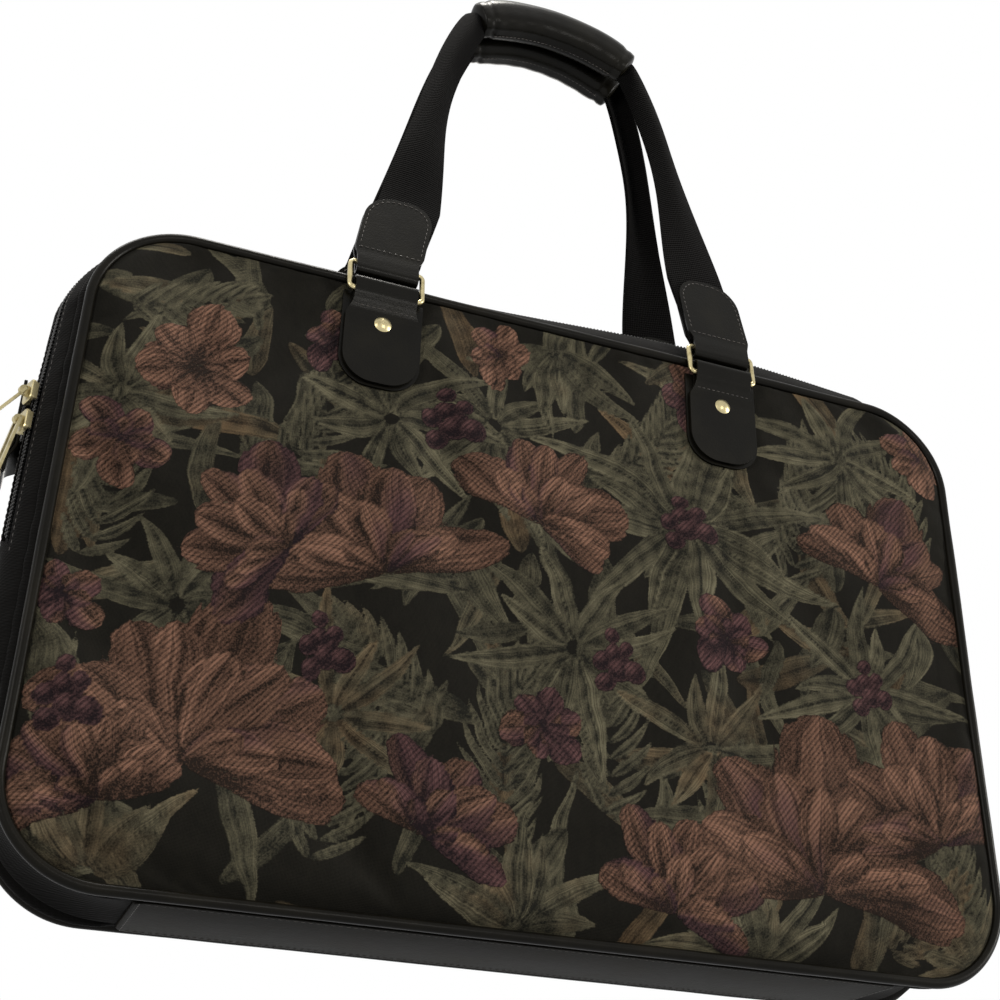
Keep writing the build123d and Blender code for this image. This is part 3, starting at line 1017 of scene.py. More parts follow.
BLOOMS = (
    Poppy(-176, 62, 84, 1.35, 0.16),
    Poppy(-214, 40, 52, 2.0, 0.3),
    Poppy(-92, 168, 76, 1.9, 0.22, 1.15),
    Poppy(-140, 176, 58, 2.6, 0.55),
    Poppy(-66, 40, 50, 1.1, 0.62),
    Poppy(146, 40, 90, 1.5, 0.14, 1.3),
    Poppy(222, 76, 66, 1.9, 0.22),
    Poppy(60, 20, 54, 1.25, 0.4),
    Poppy(-14, 216, 56, 1.0, 0.3),
    Poppy(196, 218, 62, 1.2, 0.24),
    Blossom(-196, 268, 35, 6, 0.3, 0.22),
    Blossom(-228, 214, 26, 5, 0.9, 0.5),
    Blossom(-34, 318, 25, 6, 0.2, 0.3),
    Blossom(86, 318, 24, 5, 0.6, 0.7),
    Blossom(-6, 106, 25, 6, 0.1, 0.75),
    Blossom(100, 172, 24, 6, 0.8, 0.82),
    Blossom(236, 312, 26, 6, 0.4, 0.3),
    Blossom(-126, 298, 22, 5, 0.4, 0.8),
    Blossom(-242, 130, 22, 5, 0.5, 0.7),
)
BERRIES = tuple(
    Berry(x + 8 * math.cos(n * 2.4) * (0.3 + n * 0.22), z + 8 * math.sin(n * 2.4) * (0.3 + n * 0.22), 4.4 + n % 3)
    for x, z in ((78, 236), (-118, 128), (34, 148), (186, 156), (-60, 268), (-232, 84))
    for n in range(8)
)
FRONDS = (
    Frond(-120, 20, 96, 1.2, 11, 34, 0.4),
    Frond(-26, 30, 100, 1.75, 11, 34, -0.5),
    Frond(24, 60, 92, 1.3, 10, 32, 0.5),
    Frond(96, 20, 84, 1.7, 9, 30, -0.4, 6, 0.3),
    Frond(238, 20, 80, 1.9, 9, 28, -0.3),
    Frond(-238, 150, 86, 1.3, 9, 28, 0.3, 6, 0.25),
    Frond(-150, 220, 84, 0.9, 9, 30, 0.5),
    Frond(140, 210, 92, 1.1, 10, 32, 0.5),
    Frond(30, 250, 74, 0.7, 9, 28, 0.5, 6, 0.3),
    Frond(226, 240, 74, 1.7, 9, 26, 0.4),
    Frond(-60, 90, 70, 2.2, 8, 26, 0.3, 6, 0.35),
    Frond(180, 14, 60, 0.5, 8, 24, 0.4, 6, 0.5),
    Frond(-236, 292, 60, 0.2, 8, 24, 0.3, 6, 0.2),
)
FANS = (
    Fan(78, 232, 98, 15, 0.2, width=15, hue=0.16),
    Fan(-40, 268, 66, 10, 0.5, width=12, hue=0.2),
    Fan(10, 150, 70, 11, 0.9, width=12),
    Fan(184, 152, 66, 11, 0.4, width=12, hue=0.25),
    Fan(-190, 136, 58, 9, 0.1, width=12, hue=0.2),
    Fan(-92, 262, 62, 9, 0.5, width=12, hue=0.1),
    Fan(178, 300, 64, 9, 0.9, width=12, hue=0.3),
    Fan(-232, 240, 58, 9, 0.2, width=12, hue=0.35),
    Fan(-110, 96, 60, 9, 0.2, width=11, hue=0.5),
    Fan(88, 108, 60, 9, 0.3, width=12, hue=0.45),
    Fan(0, 330, 56, 9, 3.3, 2.9, 12, 0.3),
    Fan(-214, 8, 60, 7, 0.2, 2.8, 12, 0.45),
    Fan(-20, 4, 60, 8, 0.2, 2.8, 11, 0.4),
    Fan(110, 2, 60, 8, 0.2, 2.8, 12, 0.35),
    Fan(240, 6, 60, 7, 1.2, 2.4, 12, 0.4),
)


def undergrowth(count: int = 210) -> list[Blade]:
    """Dim leaves at random that fill the ground behind the rest."""
    picker = np.random.default_rng(14)
    found = []
    for _ in range(count):
        x, z = picker.uniform(-262, 262), picker.uniform(-6, 350)
        turn, size = picker.uniform(0, 2 * math.pi), picker.uniform(40, 84)
        hue, light = picker.uniform(0, 0.6), picker.uniform(0.5, 0.95)
        found.append(Blade(x, z, size, turn, picker.uniform(9, 18), picker.uniform(-0.2, 0.2), hue, light))
    return found


@dataclass(frozen=True)
class Weave:
    """Stores the woven picture on a panel as attributes."""
    turned: bool = False

    def store(self, obj: Piece) -> None:
        """Work out the picture at every vertex of the panel."""
        points = points_of(obj) * 1000
        x, z = points[:, 0], points[:, 2]
        if self.turned:
            x, z = x * 0.94 + 9, 346 - z
        sway = wavy(in_plane(x, z), 70, 5)
        shake = wavy(in_plane(x, z), 17, 6)
        x, z = x + 2.4 * sway + 0.6 * shake, z + 2.0 * wavy(in_plane(x, z), 80, 9)
        for ground, motifs in self.motifs().items():
            best = np.full(x.shape, -5.0)
            kept = [np.zeros(x.shape) for _ in range(3)]
            for motif in motifs:
                reach = getattr(motif, "length", 10) + 12
                near = np.flatnonzero((np.abs(x - motif.x) < reach) & (np.abs(z - motif.z) < reach))
                inside, *rest = motif.draw(x[near], z[near])
                over = (inside > 0) | (inside > best[near])
                best[near[over]] = inside[over]
                for store, new in zip(kept, rest):
                    store[near[over]] = new[over]
            name = ground.value
            values = {name: np.clip(best, -4, 4)}
            values.update(zip((f"{name}_tone", f"{name}_hue", f"{name}_grain"), kept))
            for key, numbers in values.items():
                layer = obj.data.attributes.new(key, "FLOAT", "POINT")
                layer.data.foreach_set("value", np.ascontiguousarray(numbers, dtype=np.float32))

    def motifs(self) -> dict[Ground, list]:
        """The motifs of each ground, those underneath first."""
        leaves = undergrowth() + [blade for group in FRONDS + FANS for blade in group.blades()]
        petals = [blade for group in BLOOMS for blade in group.blades()]
        return {Ground.LEAF: leaves, Ground.PETAL: petals + list(BERRIES)}


# Sub-assemblies


@dataclass
class Panels:
    """The two tapestry panels, stretched inside their piping."""
    finish: Finish
    columns: int = 95
    rows: int = 64
    inset: float = 1.2 * MM
    slack: float = 0.010
    lowest: float = -1.2 * MM
    highest: float = 4.5 * MM
    frames: int = 20

    def rule(self, u: Array, v: Array) -> Array:
        """Points of the front panel for u along it and v up it."""
        return FORM.face(u, v, self.inset, 0.3 * MM - PANEL_FACE)

    def rim(self, points: Array) -> Array:
        """Distance of each point from the panel's edge."""
        radius = FORM.corner - self.inset
        dx = np.abs(points[:, 0]) - (FORM.length / 2 - self.inset - radius)
        dz = np.abs(points[:, 2] - FORM.seam_low - FORM.height / 2) - (FORM.height / 2 - self.inset - radius)
        outside = np.hypot(np.maximum(dx, 0), np.maximum(dz, 0))
        return radius - outside - np.minimum(np.maximum(dx, dz), 0)

    def settle(self, obj: Piece, held: Array) -> None:
        """Let the cloth find its folds with its edge and its patches held."""
        group = obj.vertex_groups.new(name="held")
        group.add([int(i) for i in np.flatnonzero(held)], 1.0, "REPLACE")
        one_alone(obj)
        modifier = obj.modifiers.new("settle", "CLOTH")
        wanted = {
            "quality": 6, "mass": 0.4, "tension_stiffness": 30, "compression_stiffness": 30, "shear_stiffness": 12,
            "bending_stiffness": 6, "air_damping": 4, "shrink_min": -self.slack, "vertex_group_mass": "held",
            "use_pressure": True, "uniform_pressure_force": 0.35,
        }
        for key, value in wanted.items():
            setattr(modifier.settings, key, value)
        modifier.settings.effector_weights.gravity = 0.15
        modifier.collision_settings.use_collision = False
        modifier.point_cache.frame_start = 1
        modifier.point_cache.frame_end = self.frames
        for number in range(1, self.frames + 1):
            bpy.context.scene.frame_set(number)
        bpy.ops.object.modifier_apply(modifier=modifier.name)
        bpy.context.scene.frame_set(1)
        obj.vertex_groups.clear()

    def build(self) -> None:
        """Model both panels."""
        front = shaped_grid("front_tapestry_panel", self.columns, self.rows, self.rule)
        flat = points_of(front)
        rim = self.rim(flat)
        from_tab = np.abs(np.abs(flat[:, 0]) - TAB_X)
        self.settle(front, (rim < 2 * MM) | ((from_tab < 24 * MM) & (flat[:, 2] > 275 * MM)))
        spring = step(rim, 0, 26 * MM)
        ripple = wavy(flat, 120 * MM, 3) * 0.5 * MM + wavy(flat, 46 * MM, 8) * 0.16 * MM
        under = (1 - step(from_tab, 20 * MM, 34 * MM)) * step(flat[:, 2], 262 * MM, 274 * MM)
        out = np.clip(flat[:, 1] - points_of(front)[:, 1], self.lowest, self.highest) + ripple * spring
        out = out * (1 - under) - 0.25 * MM * under
        edge = 1.3 * MM * (1 - step(rim, 0, 5 * MM))
        set_points(front, in_plane(flat[:, 0], flat[:, 2], flat[:, 1] - out + edge))
        modify(front, "SUBSURF", levels=2, render_levels=2)
        back = twin(front, "back_tapestry_panel", MIRROR_Y)
        for obj, side in ((front, Side.FRONT), (back, Side.BACK)):
            Weave(side is Side.BACK).store(obj)
            smooth(obj, 60)
            dress(obj, self.finish, (f"{side.label}_panel",))


@dataclass
class Piping:
    """The vinyl piping sewn round each panel."""
    finish: Finish
    columns: int = 700
    ring: int = 14

    def rule(self, u: Array, v: Array) -> Array:
        """Points for u round the panel and v round the cord."""
        turns = FORM.even_turns(self.columns + 1)
        turn = np.interp(u, np.linspace(0, 1, self.columns + 1), turns)
        x, z, nx, nz = FORM.outline(turn, 0 * turn)
        angle = -v * 2 * math.pi
        where = in_plane(x, z)
        radius = FORM.piping_radius * (1 + 0.025 * wavy(where, 40 * MM, 4))
        drift = 0.25 * MM * wavy(where, 130 * MM, 6) * step(z, 8 * MM, 30 * MM)
        grow = radius * np.cos(angle) + drift
        return in_plane(x + nx * grow, z + nz * grow, radius * np.sin(angle) - FORM.half_depth)

    def build(self) -> None:
        """Model both pipings."""
        front = shaped_grid("front_piping_cord", self.columns, self.ring, self.rule)
        tidy_mesh(front)
        back = twin(front, "back_piping_cord", MIRROR_Y)
        for obj, side in ((front, Side.FRONT), (back, Side.BACK)):
            smooth(obj, 180)
            dress(obj, self.finish, (f"{side.label}_piping",))


@dataclass
class Gusset:
    """The cloth sides, top and bottom, with welted seams and a topstitched zip edge."""
    finish: Finish
    thread: Finish
    wall: float = 1.6 * MM
    welt: float = 2.3 * MM
    crest: float = 0.7
    stitch_pitch: float = 3.6 * MM

    def grow(self, turn: Array, y: Array) -> Array:
        """Distance of the cloth from its plain surface, with welts, folds and puckers."""
        points = FORM.gusset(turn, y)
        x, z = points[:, 0], points[:, 2]
        seam = FORM.gusset_edge - np.abs(y)
        welt = 1.5 * MM * np.sqrt(np.clip(1 - ((seam - self.welt) / self.welt) ** 2, 0, 1))
        welt *= np.maximum(step(z, 4 * MM, 12 * MM), step(np.abs(x), 190 * MM, 198 * MM))
        groove = -0.5 * MM * hump(seam, 5.2 * MM, 0.9 * MM)
        near_zip = np.abs(y - FORM.zip_y) - FORM.zip_opening / 2
        edge = np.where(z > FORM.zip_end - 6 * MM, 1 - step(near_zip, 0, 5 * MM), 0)
        beside_chape = step(z, 190 * MM, 205 * MM) * (1 - step(z, 268 * MM, 285 * MM))
        calm = 1 - step(np.abs(x), 245 * MM, 258 * MM) * beside_chape
        pucker = wavy(points, 15 * MM, 21) * 0.22 * MM * hump(seam, 6 * MM, 7 * MM)
        soft = (wavy(points, 95 * MM, 12) * 0.7 + wavy(points, 38 * MM, 14) * 0.25) * MM * step(seam, 0, 20 * MM)
        return welt + groove + (soft * calm * (1 - edge) + pucker) * step(z, 14 * MM, 60 * MM)

    def surface(self, turn: Array, y: Array) -> Array:
        """Points of the cloth for turns and depths."""
        return FORM.gusset(turn, y, self.grow(turn, y))

    def build(self) -> None:
        """Model the three bands and their topstitching."""
        left = FORM.zip_turn(FORM.zip_end)
        right = 9 - left
        seam, gap = FORM.gusset_edge, FORM.zip_opening / 2
        upper = FORM.even_turns(521, left, right, self.crest)
        under = FORM.even_turns(201, 0, left, self.crest), FORM.even_turns(201, right, 9, self.crest) - 9
        lower = np.concatenate([under[0][::-1], under[1][-2::-1]])
        long = FORM.run_length(left, right, self.crest)
        short = FORM.run_length(0, left, self.crest) + FORM.run_length(right, 9, self.crest)
        bands = (
            ("front", upper, long, -seam, FORM.zip_y - gap, 26),
            ("back", upper, long, FORM.zip_y + gap, seam, 36),
            ("lower", lower, short, -seam, seam, 60),
        )
        for name, turns, length, near, far, rows in bands:
            flat = (length, far - near)
            band = walled(strip(f"{name}_gusset_band", turns, (near, far), rows, self.surface, flat), self.wall)
            dress(band, self.finish, (f"{name}_gusset",))
        self.stitch(left, right)

    def stitch(self, left: float, right: float) -> None:
        """Topstitching either side of the zip."""
        count = int(FORM.run_length(left, right, 0.9) / self.stitch_pitch)
        turns = FORM.even_turns(count, left, right, 0.9)
        runs = []
        for offset in (-1, 1):
            y = np.full(count, FORM.zip_y + offset * (FORM.zip_opening / 2 + 2.4 * MM))
            lift = self.grow(turns, y) + self.wall / 2
            spots = FORM.gusset(turns, y, lift)
            ahead = unit(FORM.gusset(turns + 0.002, y, lift) - spots)
            runs.append((spots, ahead, FORM.outward(turns, y)))
        dress(stitch_rows("zip_topstitching", runs, 2.5 * MM, 0.6 * MM), self.thread)


@dataclass
class ZipParts:
    """Zip tapes under the bands and the coil between them."""
    tape: Finish
    coil: Finish
    pitch: float = 2.2 * MM
    sunk: float = 1.4 * MM

    def build(self) -> None:
        """Model the tapes and the coil."""
        start = FORM.zip_turn(FORM.zip_end - 5 * MM)
        turns = FORM.even_turns(361, start, 9 - start, 0.9)
        for side, edges in ((Side.FRONT, (-22.5 * MM, -9.5 * MM)), (Side.BACK, (-8.5 * MM, 4.5 * MM))):
            sheet = strip(f"{side.label}_tape_of_zip", turns, edges, 6, self.surface)
            dress(walled(sheet, 0.8 * MM), self.tape, (f"{side.label}_zip_tape",))
        self.teeth()

    def surface(self, turn: Array, y: Array) -> Array:
        """Points of a tape for turns and depths."""
        return FORM.gusset(turn, y, -self.sunk)

    def teeth(self) -> None:
        """The coil's turns, alternating from the two sides."""
        start = FORM.zip_turn(FORM.zip_end + 3 * MM)
        count = int(FORM.run_length(start, 9 - start, 0.9) / self.pitch) * 2
        turns = FORM.even_turns(count, start, 9 - start, 0.9)
        y = FORM.zip_y + np.where(np.arange(count) % 2, 1, -1) * 0.95 * MM
        run = (FORM.gusset(turns, y, 0.28 * MM), (0, 1, 0), FORM.outward(turns, y))
        dress(stitch_rows("zip_coil", [run], 3.3 * MM, 1.55 * MM), self.coil, ("zip_chain",))


@dataclass
class TabSet:
    """The lower tabs with their patches, each tab looped loosely round its ring's lower bar."""
    finish: Finish
    thread: Finish
    slack: float = 5.0 * MM
    half: float = 21 * MM
    corner: float = 17 * MM

    def tab(self) -> Piece:
        """The tab: up its patch, out over the rivet's head and round the ring's lower bar."""
        foot = end_rows(self.corner, 14)
        rise = [[-36.7, 300], [-36.7, 312], [-36.75, 319], [-37.3, 323.5], [-38.7, 328.5], [-40.5, 332.6]]
        loop = arc((-BAR_Y, BAR_Z + self.slack), LOOP, 186, -6, 16)
        tail = np.array([[-36.4, 335], [-36.3, 329], [-36.5, 324]]) * MM
        start = np.stack([0 * foot - 36.7 * MM, 279 * MM + foot], axis=1)
        line = np.concatenate([start, even_line(np.concatenate([np.array(rise) * MM, loop, tail]), 0.9 * MM)])
        narrow = step(line[:, 1], 319 * MM, 329 * MM) * (self.half - EYE_WIDTH / 2)
        return ribbon("tab", line, rounded_end(line_length(line), self.half, self.corner) - narrow, 1.55 * MM)

    def patch(self) -> Piece:
        """The patch behind the tab."""
        up = np.concatenate([end_rows(self.corner, 14) + 277.5 * MM, np.linspace(298, 335, 12) * MM])
        line = np.stack([0 * up + 0.6 * MM - PATCH_FACE, up], axis=1)
        return ribbon("patch", line, rounded_end(line_length(line), self.half + 1.5 * MM, self.corner), 1.2 * MM)

    def build(self) -> None:
        """Model the four tabs and patches and the row sewn across each tab above its rivet."""
        for piece, source in (("tab", self.tab()), ("patch", self.patch())):
            for side in Side:
                for end in End:
                    place = Matrix.Translation((end.value * TAB_X, 0, 0)) @ side.turned
                    obj = twin(source, f"{side.label}_{end.label}_{piece}_leather", place)
                    dress(obj, self.finish, (f"{side.label}_{end.label}_{piece}",))
            bpy.data.objects.remove(source)
        across = np.arange(-15.5, 15.6, 3.1) * MM
        for side in Side:
            ways = (1, 0, 0), (0, 0.96 * side.value, -0.28)
            runs = [(in_plane(end.value * TAB_X + across, 325.3 * MM, side.value * 38.55 * MM), *ways) for end in End]
            seam = stitch_rows(f"{side.label}_tab_stitching", runs, 2.2 * MM, 0.55 * MM)
            dress(seam, self.thread)


@dataclass
class Handle:
    """One handle: strap ends, webbing and padded grip, built flat and leant into place."""
    side: Side
    leather: Finish
    webbing: Finish
    thread: Finish
    rise: float = 261 * MM
    arc: float = 110.5 * MM
    grip_angle: float = math.radians(28.07)
    strap_top: float = 70 * MM
    strap_half: float = 19.75 * MM
    strap_corner: float = 16 * MM

    def lean(self) -> Matrix:
        """Matrix from the flat handle (x, out as -y, up) to its place on the front or the back."""
        return self.side.turned @ Matrix.Translation((0, -BAR_Y, BAR_Z)) @ Matrix.Rotation(-LEAN, 4, "X")

    def sway(self, obj: Piece) -> None:
        """Let the soft handle lean inwards from its rings and stand a little high and to the right."""
        points = points_of(obj)
        foot, bent = 24 * MM, 46 * MM
        up = np.clip(points[:, 2] - foot, 0, None)
        share = np.clip(up / (self.rise - foot), 0, 1.1)
        outer = step(np.abs(points[:, 0]), 60 * MM, 80 * MM) * (1 - step(up, bent, 200 * MM))
        points[:, 0] -= np.sign(points[:, 0]) * np.minimum(up, bent) * 0.15 * outer
        points[:, 0] += 6 * MM * share ** 1.5
        points[:, 2] += 8.5 * MM * share ** 2 - 0.03 * points[:, 0] * share ** 3
        set_points(obj, points)

    def own(self, obj: Piece, name: str, material: Finish, nodes: tuple[str, ...] = ()) -> None:
        """Put a flat piece in place and dress it."""
        self.sway(rename(obj, f"{self.side.label}_{name}"))
        dress(moved(obj, self.lean()), material, nodes, f"{self.side.label}_handle")

    def strap_end(self) -> Piece:
        """A leaf each side of the webbing, folded round the ring's upper bar."""
        ends = end_rows(self.strap_corner, 12)
        down = np.array([[-2.1, 52], [-2.1, 26], [-2.4, 21]]) * MM
        front = np.stack([0 * ends + down[0, 0], self.strap_top - ends], axis=1)
        loop = arc((0, 14.3 * MM), LOOP, 178, 362, 16)
        middle = even_line(np.concatenate([down, loop, (down * MIRROR)[::-1]]), 1.2 * MM)
        line = np.concatenate([front, middle, (front * MIRROR)[::-1]])
        along = line_length(line)
        half = rounded_end(np.minimum(along, along[-1] - along), self.strap_half, self.strap_corner)
        narrow = (1 - step(line[:, 1], 22 * MM, 30 * MM)) * (self.strap_half - EYE_WIDTH / 2)
        return ribbon("strap_end", line, half - narrow, 1.6 * MM)

    def strap_stitches(self) -> Piece:
        """The sewn lines across the strap ends and round their tips, on both faces."""
        rim = self.rim_line()
        middles, ways = (rim[:-1] + rim[1:]) / 2, unit(np.diff(rim, axis=0))
        across = np.arange(-16.5, 16.6, 3.3) * MM
        runs = []
        for x in (end.value * TAB_X for end in End):
            for face in (-1, 1):
                y, out = face * 2.95 * MM, (0, face, 0)
                runs.append((in_plane(x + across, 28.5 * MM, y), (1, 0, 0), out))
                runs.append((in_plane(x + middles[:, 0], middles[:, 1], y), in_plane(*ways.T), out))
        return stitch_rows("strap_stitches", runs, 2.3 * MM, 0.55 * MM)

    def rim_line(self) -> Array:
        """Points 2.2 mm inside a strap end's sides and tip, one stitch apart."""
        inner, corner, foot = 17.5 * MM, 13.8 * MM, 31 * MM
        level = self.strap_top - 2.2 * MM - corner
        half = np.concatenate([[(-inner, foot), (-inner, level)], arc((corner - inner, level), corner, 180, 90, 10)])
        return even_line(np.concatenate([half, (half * MIRROR)[::-1]]), 3.4 * MM)

    def on_arc(self, angle: Array, radius: float | Array, y: float | Array = 0.0) -> Array:
        """Points about the grip's centre of curvature, at angles from straight up."""
        return in_plane(radius * np.sin(angle), self.rise - self.arc + radius * np.cos(angle), y)

    def centre_line(self) -> Array:
        """Line of the webbing from the left strap end to the right one."""
        neck = self.grip_angle + math.radians(1)
        top = self.on_arc(np.linspace(-neck, neck, 61), self.arc)[:, [0, 2]]
        foot, knee = np.array([-TAB_X, 24.5 * MM]), np.array([2 * MM - TAB_X, 84 * MM])
        aim = top[0] - unit(np.array([[math.cos(neck), math.sin(neck) + 1.1]]))[0] * 34 * MM
        t = np.linspace(0, 1, 90)[:-1, None]
        s = 1 - t
        leg = s ** 3 * foot + 3 * s * s * t * knee + 3 * s * t * t * aim + t ** 3 * top[0]
        return even_line(np.concatenate([leg, top, (leg * MIRROR)[::-1]]), 2.0 * MM)

    def webbing_piece(self) -> Piece:
        """The strap, folding in on itself towards the grip."""
        line = self.centre_line()
        half = 9.0 * MM + 10 * MM * (1 - step(line[:, 1], 52 * MM, 190 * MM)) ** 1.3
        rows = (*line.T, *unit(np.gradient(line, axis=0)).T, half)
        marks = np.linspace(0, 1, len(line))
        full = 19 * MM

        def rule(u: Array, v: Array) -> Array:
            """Points for u along the strap and v across it."""
            x, z, tx, tz, w = (np.interp(u, marks, row) for row in rows)
            side = 2 * v - 1
            ripple = 0.5 * MM * wavy(in_plane(x, z), 60 * MM, 31) * step(w, full, 18 * MM)
            fold = (full - w) * 0.72 * (np.abs(side) ** 1.6 - 0.5)
            return in_plane(x + side * w * tz, z - side * w * tx, fold + ripple)

        size = (float(line_length(line)[-1]), 2 * full)
        return walled(shaped_grid("webbing", len(line) - 1, 14, rule, size), 2.2 * MM, 0.5 * MM)

    def grip_rule(self, u: Array, v: Array) -> Array:
        """Points of the grip for u along it and v round it."""
        t = 2 * u - 1
        body = np.clip(np.abs(t) / 0.93, 0, 1)
        angle = np.sign(t) * body * self.grip_angle
        cap = np.clip((np.abs(t) - 0.93) / 0.07, 0, 1)
        turn = v * 2 * math.pi
        across, out = (np.sign(c) * np.abs(c) ** 0.78 * r * MM for c, r in ((np.cos(turn), 12.5), (np.sin(turn), 10.5)))
        where = np.stack([angle * self.arc, out, across], axis=1)
        crease = wavy(where * np.array([1.0, 0.35, 0.35]), 13 * MM, 43) * hump(turn, 3.9, 0.8)
        ridge = 0.05 * hump(turn, 4.9, 0.16)
        swell = 1 - 0.16 * body ** 8 + 0.014 * wavy(where, 30 * MM, 41) + 0.016 * crease + ridge
        collar = 1 - 0.06 * hump(np.abs(angle), self.grip_angle * 0.9, 0.018)
        full = swell * collar * np.sqrt(np.clip(1 - (cap * 0.62) ** 2, 0, 1)) * (1 - 0.25 * cap ** 3)
        radius = self.arc + across * full + 0.7 * MM * hump(turn, math.pi, 0.09)
        reach = (np.sign(t) * cap * 2.2 * MM)[:, None]
        return self.on_arc(angle, radius, out * full) + reach * in_plane(np.cos(angle), -np.sin(angle))

    def grip(self) -> Piece:
        """The padded sleeve, closed round the folded webbing."""
        obj = shaped_grid("grip", 120, 40, self.grip_rule, (0.108, 0.075))
        with editing(obj):
            bpy.ops.mesh.remove_doubles(threshold=0.00002)
            bpy.ops.mesh.select_all(action="DESELECT")
            bpy.ops.mesh.select_non_manifold(extend=False)
            bpy.ops.mesh.fill_holes(sides=0)
        tidy_mesh(obj)
        smooth(obj, 60)
        return obj

    def grip_seam(self) -> Piece:
        """Stitches along the grip's underside."""
        angles = np.linspace(-0.86, 0.86, 30) * self.grip_angle
        spots = self.on_arc(angles, self.arc - 12.3 * MM, 2.2 * MM)
        run = (spots, in_plane(np.cos(angles), -np.sin(angles)), -in_plane(np.sin(angles), np.cos(angles)))
        return stitch_rows("grip_stitches", [run], 2.4 * MM, 0.6 * MM)

    def build(self) -> None:
        """Model the whole handle."""
        name = self.side.label
        self.own(self.webbing_piece(), "handle_webbing", self.webbing, (f"{name}_webbing",))
        grip = self.grip()
        self.own(grip, "handle_grip", self.leather, (f"{name}_grip",))
        self.own(self.grip_seam(), "grip_stitching", self.thread)
        source = self.strap_end()
        for end in End:
            obj = twin(source, "strap", Matrix.Translation((end.value * TAB_X, 0, 0)))
            nodes = (f"{name}_{end.label}_strap_end",)
            self.own(obj, f"{end.label}_strap_end_leather", self.leather, nodes)
        bpy.data.objects.remove(source)
        self.own(self.strap_stitches(), "strap_stitching", self.thread)


@dataclass
class Chape:
    """The leather loop at one end that carries a D-ring."""
    finish: Finish
    thread: Finish
    y: float = 13 * MM
    half: float = 10.7 * MM
    bar_x: float = 279.85 * MM
    bar_z: float = 208 * MM
    layer: float = 1.7 * MM
    outer: float = 2.75 * MM
    inner: float = 1.0 * MM

    def surface(self, y: Array) -> Array:
        """How far out the gusset's outer face is at a depth, on the straight of an end."""
        return FORM.length / 2 + FORM.side_bulge * FORM.crest(y) + FORM.gusset_wall / 2

    def strap(self) -> Piece:
        """The left chape, laid on the gusset and folded round its ring's bar."""
        upper = np.array([[0.0, 260], [0.0, 250], [0.0, 240], [0.0, 230], [0.6, 222], [1.6, 215]]) * MM
        loop = arc((0, self.bar_z), LOOP, 30, -190, 18)
        lower = np.array([[-2.3, 213], [-2.6, 218], [-2.9, 223], [-2.9, 230], [-2.9, 236]]) * MM
        path = even_line(np.concatenate([upper, loop, lower]), 1.6 * MM)
        marks = np.linspace(0, 1, len(path))

        def rule(u: Array, v: Array) -> Array:
            """Points for u along the strap and v across it."""
            offset, height = (np.interp(u, marks, row) for row in path.T)
            lying = step(height, 213 * MM, 224 * MM)
            y = self.y + np.sin((2 * v - 1) * math.pi / 2) * self.half
            on_cloth = self.surface(y) + np.where(u < 0.5, self.outer, self.inner)
            return in_plane(-(on_cloth * lying + (self.bar_x + offset) * (1 - lying)), height, y)

        return walled(shaped_grid("left_chape_leather", 60, 12, rule), self.layer, 0.45 * MM)

    def seam(self) -> Piece:
        """The box sewn on the left chape."""
        box = np.array([[5.2, 256.5], [20.8, 256.5], [20.8, 228], [5.2, 228], [5.2, 256.5]]) * MM
        runs = []
        for start, side in zip(box, np.diff(box, axis=0)):
            count = max(3, int(np.hypot(*side) / (3.3 * MM)))
            y, z = (start + side * (np.arange(count) + 0.5)[:, None] / count).T
            spots = in_plane(-self.surface(y) - self.outer - self.layer / 2, z, y)
            runs.append((spots, (0, *unit(side[None])[0]), (-1, 0, 0)))
        return stitch_rows("left_chape_stitches", runs, 2.3 * MM, 0.55 * MM)

    def build(self) -> None:
        """Model both chapes and their stitching."""
        for left, nodes, finish in ((self.strap(), ("chape",), self.finish), (self.seam(), (), self.thread)):
            right = twin(left, left.name.replace("left", "right"), MIRROR_X)
            for piece, end in ((left, End.LEFT), (right, End.RIGHT)):
                dress(piece, finish, tuple(f"{end.label}_{node}" for node in nodes))


